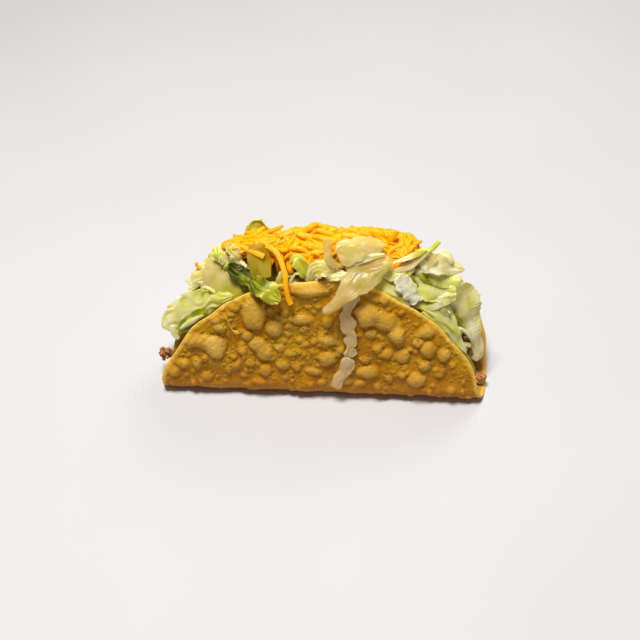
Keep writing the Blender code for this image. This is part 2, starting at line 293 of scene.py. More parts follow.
def fried_corn():
    """Golden corn: pale on the blisters and amber between them, partly its own colour and partly painted
    light on the tops and painted shade in the hollows; orange brown at the fold, partly toasting and
    partly painted shade where the wall turns under; a pale rim that is a painted highlight; specked.

    The inner face is duller.  Patches of bubbles finer than the mesh, 0.9 and 1.6 mm apart, are
    relief.
    """
    finish = Finish("fried_corn", Specular_IOR_Level=0.12)
    puff, fold, edge, inside = (finish.field(key) for key in ("puff", "fold", "edge", "inside"))
    cloud = finish.noise(9.0, 3.0)
    grain = finish.noise(0.9, 4.0)
    patch = finish.noise(6.0, 2.0)
    coarse = finish.cells(1.6).above(0.5, 0.12) * patch.above(0.44, 0.56)
    small = finish.cells(0.9).above(0.5, 0.12) * patch.above(0.5, 0.6)
    bubbles = (coarse + small) * (1 - fold * 0.85) * (1 - edge) * (1 - puff * 0.9)
    # Paler blister tops and darker valleys between them: partly the corn's own colour, partly painted light
    # on the tops and painted shade in the hollows.
    valley = finish.mix(cloud.above(0.3, 0.7), tint(170, 110, 0), tint(188, 136, 10))
    top = finish.mix(cloud.above(0.3, 0.7), tint(200, 150, 44), tint(214, 171, 80))
    colour = finish.mix(puff.above(0.0, 0.95), valley, top)
    # Paler bubble patches: partly their own colour and partly a painted highlight on the bubbles.
    colour = finish.mix(bubbles.above(0.2, 1.0) * 0.6, colour, tint(208, 166, 66))
    # Orange brown at the fold: partly toasting and partly painted shade where the wall turns under and faces
    # down.
    toast_and_shade = finish.mix(cloud, tint(182, 106, 16), tint(200, 130, 48))
    colour = finish.mix(fold * 0.7, colour, toast_and_shade)
    colour = finish.mix(inside * 0.5, colour, tint(196, 150, 84))
    # Paler rim: a painted highlight where the thin edge catches the light.
    colour = finish.mix(edge * 0.9, colour, tint(240, 190, 74))
    colour = finish.mix((grain - 0.5).above(0.02, 0.3) * 0.25, colour, tint(140, 88, 14))
    speck = finish.cells(3.0).above(0.15, 0.07) * finish.noise(5.0, 1.0).above(0.53, 0.58)
    colour = finish.mix(speck * 0.85, colour, tint(66, 32, 6))
    pores = finish.noise(0.5, 3.0)
    height = pores * 0.2 + grain * 0.4 - speck * 1.2 + bubbles * 2.2
    return finish.paint(Base_Color=colour, Normal=finish.relief(height, 0.16), Roughness=0.3 + grain * 0.2)


def lettuce(name, clearness=0.0):
    """Wet leaf: the tone runs from white rib through pale and yellow green to dark green.

    `warm` draws a place towards cream on a pale leaf and towards mustard on a green one, and
    `clearness` is the share of the light that passes a clear leaf.
    """
    finish = Finish(name, Subsurface_Weight=0.7, Subsurface_Radius=(1.0, 0.9, 0.4),
                    Subsurface_Scale=1.8 * MM, Coat_Roughness=0.12, Specular_IOR_Level=0.2,
                    Alpha=1 - clearness)
    tone, warm, along, across = (finish.field(key) for key in ("tone", "warm", "along", "across"))
    flat = finish.node("ShaderNodeCombineXYZ", None, along * 0.55 * MM, across * MM, 0.0).outputs[0]
    veins = finish.cells(3.6, "DISTANCE_TO_EDGE", flat).above(0.06, 0.0)
    lines = finish.node("ShaderNodeCombineXYZ", None, along * 0.1 * MM, across * MM, 0.0).outputs[0]
    fibre = finish.noise(0.8, 2.0, lines)
    fine = finish.noise(1.8, 2.0, flat)
    shade = tone + (fine - 0.5) * 0.12 + (fibre - 0.5) * (0.18 - 0.28 * clearness) - veins * 0.04
    fresh = finish.ramp(shade, (0.0, 250, 240, 200), (0.25, 228, 219, 140), (0.45, 204, 202, 78),
                        (0.62, 174, 176, 40), (0.8, 112, 122, 0), (1.0, 40, 50, 0))
    ripe = finish.ramp(shade, (0.0, 238, 200, 140), (0.35, 212, 182, 104), (0.7, 188, 156, 4),
                       (1.0, 110, 84, 0))
    height = fine * 0.4 + fibre * 0.6 + veins * 0.2
    return finish.paint(Base_Color=finish.mix(warm, fresh, ripe), Coat_Weight=0.22 - tone * 0.22,
                        Normal=finish.relief(height, 0.14 - 0.2 * clearness), Roughness=0.24 + fine * 0.22)


def cheddar():
    """Soft orange-yellow cheese with a satin face, a little yellower on top of the heap; the tone
    follows how deep a strand lies, a painted shade that the ramp keeps very slight.
    """
    finish = Finish("cheddar", Subsurface_Weight=0.2, Subsurface_Radius=(1.0, 0.9, 0.15),
                    Subsurface_Scale=0.8 * MM, Specular_IOR_Level=0.22)
    tone = finish.field("tone")
    cloud = finish.noise(2.2, 3.0)
    shade = tone + (cloud - 0.5) * 0.4
    colour = finish.ramp(shade, (0.0, 255, 174, 0), (0.45, 254, 169, 0), (1.0, 255, 173, 4))
    fine = finish.noise(0.6, 2.0)
    return finish.paint(Base_Color=colour, Normal=finish.relief(fine + cloud, 0.1),
                        Roughness=0.3 + cloud * 0.2)


def ground_beef():
    """Browned meat: crumbly, darker and lighter in patches, with a greasy shine and pale flecks
    painted as highlights.
    """
    finish = Finish("ground_beef", Subsurface_Weight=0.1, Subsurface_Radius=(1.0, 0.4, 0.2),
                    Subsurface_Scale=1.0 * MM, Coat_Weight=0.25, Coat_Roughness=0.25)
    cloud = finish.noise(2.2, 4.0)
    grain = finish.noise(0.7, 3.0)
    colour = finish.mix(cloud.above(0.3, 0.7), tint(104, 54, 12), tint(186, 124, 56))
    # Pale flecks where the fine noise peaks: painted highlights on the crumbs.
    colour = finish.mix(grain.above(0.52, 0.75) * 0.6, colour, tint(220, 164, 100))
    return finish.paint(Base_Color=colour, Normal=finish.relief(cloud + grain, 0.35),
                        Roughness=0.3 + grain * 0.35)


def plain_floor():
    """A pale matt table top."""
    finish = Finish("floor", Roughness=0.7)
    cloud = finish.noise(90.0, 2.0)
    return finish.paint(Base_Color=finish.mix(cloud, (0.54, 0.53, 0.53, 1.0), (0.58, 0.57, 0.57, 1.0)))


# ---------------------------------------------------------------- the shell

def wall_run(distance, wall, flat):
    """How far out and up the outer face has come at `distance` from the fold, and its slope.

    The face runs flat, turns through an arc and goes on as a wall whose lean from the vertical
    changes evenly by `bend` radians a millimetre.
    """
    radius, lean, bend = wall["radius"], wall["lean"], wall["bend"]
    arc = radius * (math.pi / 2 - lean)
    turn = np.clip(distance - flat, 0, arc) / radius
    rise = np.maximum(distance - flat - arc, 0)
    out = np.minimum(distance, flat) + radius * np.sin(turn)
    out = out + (math.cos(lean) - np.cos(lean + bend * rise)) / bend
    up = radius * (1 - np.cos(turn)) + (np.sin(lean + bend * rise) - math.sin(lean)) / bend
    slope = np.where(rise > 0, math.pi / 2 - lean - bend * rise, turn)
    return out, up, slope


def flat_at(x, wall):
    """Width of the wall's share of the flat underside at x: it narrows evenly in x² to the tips."""
    ends = np.clip(np.abs(x) / HALF_LENGTH, 0, 1) ** 2
    return wall["flat"] * (1 - ends) + END_FLAT * ends


def shell_point(x, s, depth=0.0):
    """The point at (x, s) of the shell, `depth` in from its outer face (negative is outside)."""
    x, s, depth = np.broadcast_arrays(np.asarray(x, float), s, depth)
    sections = []
    for wall in (FRONT, REAR):
        out, up, slope = wall_run(np.maximum(wall["side"] * s, 0), wall, flat_at(x, wall))
        sections.append((wall["side"] * (out - depth * np.sin(slope)), up + depth * np.cos(slope)))
    y = np.where(s > 0, sections[1][0], sections[0][0])
    z = np.where(s > 0, sections[1][1], sections[0][1])
    skew = np.clip((s - SHIFT_START) / (SHIFT_END - SHIFT_START), 0, 1)
    return np.stack((x * (1 - REAR_NARROWING * skew) + REAR_SHIFT * skew, y, z), axis=-1)


def random_blisters(count, smallest, largest, seed, across=(-66, 66), along=(-62, 76)):
    """Blisters scattered over a patch of the tortilla, small ones more often than large ones."""
    draw = np.random.default_rng(seed)
    x = draw.uniform(*across, count)
    s = draw.uniform(*along, count)
    size = smallest + (largest - smallest) * draw.uniform(0, 1, count) ** 2.2
    wide, tall = size * draw.uniform(0.8, 1.35, count), size * draw.uniform(0.8, 1.2, count)
    return np.stack((x, s, wide, tall), axis=-1)


def blister_lift(x, s):
    """How far the blisters lift the outer face at (x, s).

    Each is a dome (1 - r²)^0.62 over an uneven oval, as high as 0.62 of its smaller half width, and
    where they meet the taller one wins softly.  The rear wall's large ones are at random, and so are
    the fine ones everywhere and in a rough patch amidships on the front wall.
    """
    places = np.stack((x, s), axis=-1)
    warp = 1 + 0.07 * ripple(places, 5.0, 31)
    drift = ripple(places, 9.0, 32) * 0.35
    total = np.zeros_like(x)
    rear = random_blisters(150, 1.7, 5.6, 5)
    fine = random_blisters(1300, 0.6, 1.9, 6)
    rough_patch = random_blisters(260, 0.5, 1.1, 7, (-20, 15), (-45, -24))
    groups = (np.array(FRONT_BLISTERS), rear[rear[:, 1] > REAR_WALL_FROM], fine, rough_patch)
    for bx, bs, wide, tall in np.concatenate(groups):
        near = (np.abs(x - bx) < 1.5 * wide + 1) & (np.abs(s - bs) < 1.5 * tall)
        reach = np.hypot((x[near] - bx + drift[near]) / wide, (s[near] - bs) / tall) * warp[near]
        height = BLISTER_SHARE * min(wide, tall, TALLEST_BLISTER)
        lift = height * np.clip(1 - reach ** 2, 0, 1) ** BLISTER_POWER
        total[near] = (total[near] ** 3 + lift ** 3) ** (1 / 3)
    return total


def disc_grid(columns, rows):
    """A square grid laid over the tortilla: x, s and how far inside the rim each place lies, in mm.

    With a and b from -1 to 1, x = HALF_LENGTH · a · √(1 - b²/2) and s lies reach · b · √(1 - a²/2)
    from DISC_CENTRE.  The rim is a little uneven.
    """
    across, along = np.meshgrid(np.linspace(-1, 1, columns), np.linspace(-1, 1, rows))
    reach = np.where(along < 0, FRONT_REACH, REAR_REACH)
    x = HALF_LENGTH * across * np.sqrt(1 - along ** 2 / 2)
    s = DISC_CENTRE + reach * along * np.sqrt(1 - across ** 2 / 2)
    inside = np.hypot(x / HALF_LENGTH, (s - DISC_CENTRE) / reach)
    wobble = 1 + 0.006 * ripple(np.stack((x, s), axis=-1), 16.0, 33) * inside ** 4
    return x * wobble, DISC_CENTRE + (s - DISC_CENTRE) * wobble, (1 - inside) * HALF_LENGTH


def border(rows, columns):
    """The grid's outermost points in order around it."""
    index = np.arange(rows * columns).reshape(rows, columns)
    return np.concatenate((index[0, :-1], index[:-1, -1], index[-1, :0:-1], index[:0:-1, 0]))


def build_shell(finish):
    """The folded tortilla: an outer face, an inner face with half as many points each way, and a rim.

    The blisters lift the outer face and swell the inner one a little; near the rim they fade, and
    where the fold stands on the table it stays level.
    """
    x, s, to_rim = disc_grid(SHELL_COLUMNS, SHELL_ROWS)
    places = np.stack((x, s), axis=-1)
    settle = smooth(0.3, 5.0, shell_point(x, s)[..., 2])
    lift = blister_lift(x, s) * settle * (0.2 + 0.8 * smooth(0.0, 3.5, to_rim))
    swell = 0.4 * ripple(places, 14.0, 34) * settle * smooth(0, 6, to_rim)
    grit = 0.09 * ripple(places, 2.0, 35, 40) * settle
    thick = RIM_THICKNESS + (THICKNESS - RIM_THICKNESS) * smooth(0, 4, to_rim)
    outer = shell_point(x, s, -np.maximum(lift + swell + grit, -0.5))
    inner = shell_point(x, s, thick - 0.35 * lift - swell + grit)[::2, ::2]
    middle = shell_point(x * RIM_BULGE, DISC_CENTRE + (s - DISC_CENTRE) * RIM_BULGE, 0.5 * thick - 0.3 * lift)
    rows, columns = x.shape
    size = rows * columns
    around = border(rows, columns)
    ring = np.arange(len(around)) + size
    far = size + len(around)
    within = border(*inner.shape[:2]) + far
    ahead = np.roll(np.arange(len(around)), -1)
    outer_rim = np.stack((around, ring, ring[ahead], around[ahead]), axis=-1)
    first, half, second = ring[::2], ring[1::2], np.roll(ring[::2], -1)
    beyond = np.roll(within, -1)
    fans = ((first, within, half), (half, within, beyond), (half, beyond, second))
    inner_rim = np.concatenate([np.stack(fan, axis=-1) for fan in fans])
    faces = (grid_faces(rows, columns)[:, ::-1], grid_faces(*inner.shape[:2], far), outer_rim[:, ::-1],
             inner_rim[:, ::-1])
    points = np.concatenate((outer.reshape(-1, 3), middle.reshape(-1, 3)[around], inner.reshape(-1, 3)))

    def everywhere(values):
        """A value on the outer face carried on around the rim and over the inner face."""
        return np.concatenate((values.ravel(), values.ravel()[around], values[::2, ::2].ravel()))

    # puff and fold colour the corn partly as painted light and shade, and edge paints a highlight on the rim.
    fields = {
        "puff": everywhere(1 - np.exp(-lift / 1.6)),
        "fold": everywhere(1 - smooth(8, 30, np.abs(s - 2))),
        "edge": everywhere(1 - smooth(0.2, 1.8, to_rim)),
        "inside": np.arange(len(points)) >= far,
    }
    new_piece("taco_shell", points, faces, finish, ("shell",), fields)


# ---------------------------------------------------------------- leaves

# The side that a leaf shows, on the heap and on the front wall.
FACING = (0.0, -0.62, 0.78)
WALL_FACING = (0.0, -0.97, 0.23)
LEAF_WALL = 0.34
LEAF_STEPS = 76
LEAF_COLUMNS = 28


def smooth_rows(rows, count):
    """`count` even steps along a smooth curve through the rows (Catmull-Rom)."""
    rows = np.asarray(rows, float)
    padded = np.vstack((2 * rows[0] - rows[1], rows, 2 * rows[-1] - rows[-2]))
    where = np.linspace(0, len(rows) - 1, count)
    span = np.minimum(where.astype(int), len(rows) - 2)
    t = (where - span)[:, None]
    a, b, c, d = (padded[span + k] for k in range(4))
    return 0.5 * (2 * b + (c - a) * t + (2 * a - 5 * b + 4 * c - d) * t ** 2
                  + (3 * b - a - 3 * c + d) * t ** 3)


def leaf_surface(route, seed, facing=FACING, cup=0.3, ruffle=0.3, waves=2.0, crumple=0.15, crinkle=0.0,
                 pleats=0.0, folds=2.0, ribs=0.0, ragged=0.08, blunt=0.06):
    """The surface of a strip of leaf, with u from 0 to 1 along it and v from -1 to 1 across it.

    The point at (u, v) lies v half widths beside a smooth line through the route's places, lowered
    by cup · v², waved at its edges by ruffle · v² · sin(2π · waves · u + 2.2 v), folded lengthwise
    into `folds` creases of depth `pleats`, ribbed crosswise every 1.4 mm by `ribs`, and crumpled by
    random fields of 9 mm and, for `crinkle`, of 2.6 mm.  The width is uneven by `ragged` and rounds
    off over the share `blunt` of each end.
    """
    rows = smooth_rows(route, LEAF_STEPS)
    centre, width = rows[:, :3], np.maximum(rows[:, 3], 0.6)
    u = np.linspace(0, 1, LEAF_STEPS)
    v = np.linspace(-1, 1, LEAF_COLUMNS)
    tangent = unit(np.gradient(centre, axis=0))
    side = unit(np.cross(facing, tangent))
    normal = unit(np.cross(tangent, side))
    length = np.concatenate(((0,), np.cumsum(np.linalg.norm(np.diff(centre, axis=0), axis=1))))[:, None]
    ends = np.clip(np.minimum(u, 1 - u) / blunt, 0, 1)
    half = width / 2 * (0.3 + 0.7 * np.sqrt(1 - (1 - ends) ** 2))
    flat = np.stack(np.broadcast_arrays(length, v * half[:, None]), axis=-1)
    outline = np.stack(np.broadcast_arrays(length, np.sign(v) * 9.0), axis=-1)
    edge = 1 + ragged * (ripple(outline, 5.0, seed) + 0.45 * ripple(outline, 1.5, seed + 4))
    lift = ruffle * v ** 2 * np.sin(2 * math.pi * waves * u[:, None] + 2.2 * v) - cup * v ** 2
    way = v * folds / 2 + 0.55 * ripple(flat * (0.6, 1.0), 8.0, seed + 5) + 0.25
    crease = np.sqrt((2 * np.abs(way - np.round(way))) ** 2 + 0.015)
    lift = lift + pleats * (crease - 0.5) * (0.7 + 0.5 * ripple(flat, 9.0, seed + 9))
    lift = lift + ribs * np.sin(2 * math.pi * length / 1.4 + 1.5 * v) * smooth(-0.6, 0.4, v)
    lift = lift + crumple * (ripple(flat, 9.0, seed + 1) + 0.12 * ripple(flat, 3.0, seed + 2))
    lift = lift + crinkle * (ripple(flat, 2.6, seed + 6, 30) + 0.4 * ripple(flat, 1.3, seed + 7, 30))
    places = centre[:, None] + side[:, None] * (v * half[:, None] * edge)[..., None]
    return places + normal[:, None] * lift[..., None], u, v, flat


def leaf_fields(u, v, flat, tones, warm, seed):
    """The leaf's tone and warmth, and the places along and across it in mm.

    The tone goes evenly from `start` to `end`, changes by edge · v² towards the edges and is paler
    on the rib; a negative edge pales the edges as a painted highlight where the thin edges catch the
    light.  The warmth goes from one number to the other, or is one number all along.
    """
    start, end, edge = tones
    rib = np.exp(-(v / 0.14) ** 2)
    # edge · v²: where edge is negative, a painted highlight along the thin edges.
    tone = start + (end - start) * u[:, None] + edge * np.abs(v) ** 2 - 0.08 * rib
    tone = tone + 0.09 * ripple(flat, 7.0, seed + 3)
    first, last = np.broadcast_to(warm, 2)
    ripe = first + (last - first) * u[:, None] + 0.12 * ripple(flat, 8.0, seed + 8)
    return {"tone": np.clip(tone, 0, 1), "warm": np.clip(ripe, 0, 1), "along": flat[..., 0] + 10.0 * seed,
            "across": flat[..., 1]}


def wall_route(*steps, lift=2.0):
    """A route down the front wall, from steps of x, s and width, `lift` mm clear of its outer face."""
    return [(*shell_point(x, s, -lift), width) for x, s, width in steps]


# Each leaf that has a node: its route (x, y, z, width), how it is shaped, its tones at its start, its
# end and its edges, and its warmth from start to end.  A negative edge tone is a painted highlight
# along the leaf's thin edges.
LEAVES = {
    "low_left": dict(
        route=[(-34.5, 0.5, 46.5, 2.5), (-42.5, 3.5, 42, 7), (-48.5, 5, 37.5, 11.5),
               (-55.5, 7.5, 31, 13.5), (-62, 9.5, 24, 11), (-67, 10.5, 17.5, 7)],
        ruffle=0.6, waves=1.5, cup=1.0, crumple=0.3, pleats=1.0, folds=3.2, ragged=0.06, blunt=0.12,
        tones=(0.5, 0.24, -0.1), warm=(0.2, 0.25), seed=11),
    "left_green": dict(
        route=[(-45.5, -0.5, 38.5, 2.5), (-50, 0.3, 34.5, 5), (-54.5, 0.8, 29.5, 5.5),
               (-58.5, 1.3, 25.5, 4)],
        ruffle=0.5, waves=1.0, cup=0.8, crumple=0.2, tones=(0.8, 0.72, 0.05), seed=12),
    "left_pale": dict(
        route=[(-47.8, 14, 46.4, 12), (-43.8, 12.3, 47.7, 13.6), (-38.4, 9.3, 47.8, 13.6),
               (-33.3, 6.2, 46.8, 10.8), (-29, 3.6, 46.3, 5)],
        ruffle=0.1, waves=0.5, cup=0.7, crumple=0.1, ragged=0.02, blunt=0.02, tones=(0.2, 0.66, 0),
        warm=(0.8, 0.3), seed=13),
    "left_top": dict(
        route=[(-44, 15, 54.8, 3), (-42, 15, 56, 6), (-39.5, 14.7, 56.3, 8), (-37, 14, 54, 7),
               (-35.5, 13, 52, 3)],
        ruffle=0.4, waves=1.0, cup=0.8, crumple=0.25, ribs=0.12, pleats=0.3, ragged=0.06,
        tones=(0.42, 0.3, -0.1), seed=14),
    "green_fold": dict(
        route=[(-36.5, 9.5, 55.5, 2.5), (-34.5, 8, 54, 5.5), (-31.5, 6, 53, 6), (-28.5, 3.5, 53.5, 6),
               (-25, 0.5, 53.5, 7), (-21, -2, 53, 8), (-18, -3.5, 51, 6.5), (-15.5, -4, 49.5, 3.5)],
        ruffle=0.8, waves=3.5, cup=0.7, crumple=0.5, crinkle=0.03, pleats=0.9, folds=2.2, ragged=0.16,
        tones=(1.12, 0.64, -0.1), warm=(0, 0.15), seed=15),
    "yellow": dict(
        route=[(-25.5, 11, 65, 6), (-24.8, 9, 60.8, 8.5), (-24, 6.3, 57.3, 8.5), (-23, 2.8, 54.3, 7)],
        ruffle=0.1, waves=0.5, cup=0.4, crumple=0.08, ragged=0.02, blunt=0.02, tones=(0.6, 0.76, 0),
        warm=0.85, seed=16),
    "ribbon": dict(
        route=[(26, 8, 62.5, 3.5), (23.5, 6.5, 61.5, 7), (19, 4.5, 59.5, 11), (14.5, 1.5, 57, 12),
               (10.5, -2, 54.5, 8.5), (6.5, -4.5, 50.5, 4.8), (1, -6, 45.5, 3)],
        ruffle=0.4, waves=1.5, cup=0.6, crumple=0.4, crinkle=0.04, pleats=0.24, folds=5.0, ragged=0.06,
        blunt=0.03, tones=(0.44, 0.26, -0.06), warm=(0.7, 1.0), seed=17),
    "tail": dict(
        route=wall_route((13, -59, 5), (11.3, -55, 4.5), (10, -51, 3.2), (9.8, -48.5, 4.5),
                         (10.5, -46, 6.2), (11, -43, 4.4), (12, -40, 4.2), (12, -37, 4.6),
                         (11.7, -35, 2.8), (12.1, -32.5, 5.2), (12.3, -30.5, 2.5)),
        facing=WALL_FACING, waves=5.0, crumple=0.2, crinkle=0.06, pleats=0.3, ragged=0.2,
        tones=(0.05, 0, 0), warm=1.0, seed=18),
    "scrap": dict(
        route=wall_route((12.3, -29.8, 4), (11, -26.8, 6.5), (10, -23.5, 5), (7.8, -19.9, 4.6),
                         (6.3, -15.4, 4.2)),
        facing=WALL_FACING, cup=0.2, crumple=0.2, crinkle=0.05, ragged=0.1, tones=(0.05, 0.02, 0), warm=1.0,
        seed=19),
    "clear_top": dict(
        route=[(6, 7.8, 62.6, 6.5), (8.3, 8.5, 63.4, 10.8), (11.4, 9.3, 64.8, 10), (15.2, 10.2, 65.7, 8.8),
               (19, 11.2, 65.5, 7.2), (21.9, 12, 65, 4.8), (23.8, 12.6, 64.3, 1.2)],
        waves=1.0, cup=0.25, crumple=0.2, pleats=0.2, folds=1.4, ragged=0.07, blunt=0.03,
        tones=(0.4, 0.34, -0.14), warm=(0.55, 0.25), seed=20),
    "curl": dict(
        route=[(2, 10, 69.5, 4), (2, 8, 66, 3.2), (2.5, 6, 63, 3), (5, 5.5, 60.5, 2.8), (8.5, 6, 59.5, 1)],
        ruffle=0.2, waves=1.0, cup=0.4, crumple=0.1, ragged=0.04, tones=(0.36, 0.36, 0), warm=0.7, seed=21),
    "middle": dict(
        route=[(-5, 3, 53.5, 2.5), (-3.6, 3.8, 57.8, 5.5), (-0.7, 4, 59.4, 6.5), (2.4, 4, 58.6, 6),
               (5.4, 4.2, 57, 4.5), (9, 5, 56.6, 1.5)],
        ruffle=0.6, waves=3.0, crumple=0.9, crinkle=0.03, pleats=0.4, ragged=0.12,
        tones=(0.46, 0.28, -0.18), warm=(0.6, 0.4), seed=22),
    "green_chip": dict(
        route=[(-12.4, 7.3, 59.3, 2), (-10.3, 6.5, 61, 5), (-7.6, 4.6, 59.2, 5), (-6, 3, 55.5, 3.4)],
        ruffle=0.5, waves=1.5, cup=0.4, crumple=0.45, pleats=0.6, folds=1.6, ragged=0.14,
        tones=(0.6, 0.74, -0.1), warm=(0.2, 0.1), seed=23),
    "white": dict(
        route=[(29.5, 4.4, 56.7, 4.5), (31.5, 3.8, 53.7, 6.6), (33.8, 3.4, 50.3, 6.8),
               (35.2, 2.6, 46.8, 5), (34.8, 2, 44.2, 2.5)],
        ruffle=0.5, crumple=0.3, crinkle=0.12, ragged=0.16, tones=(0, 0, 0), warm=0.15, seed=24),
    "thin_curl": dict(
        route=[(26.5, 7.8, 59.8, 0.7), (31.6, 9, 61.6, 1.6), (36.5, 11, 63, 2.3), (39.9, 12.5, 64.2, 1.2)],
        waves=1.5, cup=0.15, ragged=0.1, blunt=0.3, tones=(0.1, 0.6, -0.1), warm=(0.3, 0), seed=25),
    "top_right": dict(
        route=[(38, 10, 56.5, 4), (41.5, 10.8, 57.5, 7), (46, 12, 56.3, 7.5), (51, 14, 53.5, 6),
               (55.5, 15.5, 51.7, 1.5)],
        waves=1.5, crumple=0.35, pleats=0.25, folds=2.4, ragged=0.1, tones=(0.12, 0.24, -0.05),
        warm=(0.2, 0.4), seed=26),
    "right": dict(
        route=[(53, 10.5, 47.5, 7), (56, 10, 41, 12.5), (58, 9, 34.5, 13), (60.5, 8.2, 28.5, 8.5),
               (62.6, 7, 22.9, 5), (63.9, 6, 16.9, 5.4), (64.3, 5.2, 10.3, 5)],
        ruffle=0.5, waves=3.5, cup=0.8, crumple=0.3, crinkle=0.03, ribs=0.2, pleats=0.25, ragged=0.06,
        blunt=0.05, tones=(0.34, 0.02, -0.05), warm=(0.15, 0.4), seed=27),
    "right_green": dict(
        route=[(54.5, -0.3, 23.5, 2.5), (58.5, -1, 18, 3.6), (61.5, -1.2, 12.5, 3.2),
               (63.5, -0.8, 6.5, 1.8)],
        ruffle=0.2, waves=1.0, cup=0.4, crumple=0.1, tones=(0.72, 0.8, 0.05), warm=(0.3, 0.5), seed=28),
    "back": dict(
        route=[(-30.5, 23, 59.5, 2.5), (-28.6, 24, 61.3, 4.6), (-26.2, 25, 61.6, 5.5),
               (-23.7, 25, 60.2, 4.2), (-20.8, 24.5, 59.4, 2)],
        facing=WALL_FACING, ruffle=0.5, waves=1.5, cup=-0.4, crumple=0.5, pleats=0.5, folds=1.6,
        ragged=0.14, tones=(0.68, 0.56, -0.12), warm=0, seed=29),
}
# The green leaves, and those that let light through.
GREEN_LEAVES = ("left_green", "green_fold", "green_chip", "right_green", "back")
CLEAR_LEAVES = ("left_pale", "yellow", "ribbon", "tail", "scrap", "clear_top", "curl", "flap", "olive",
                "thin_strip")

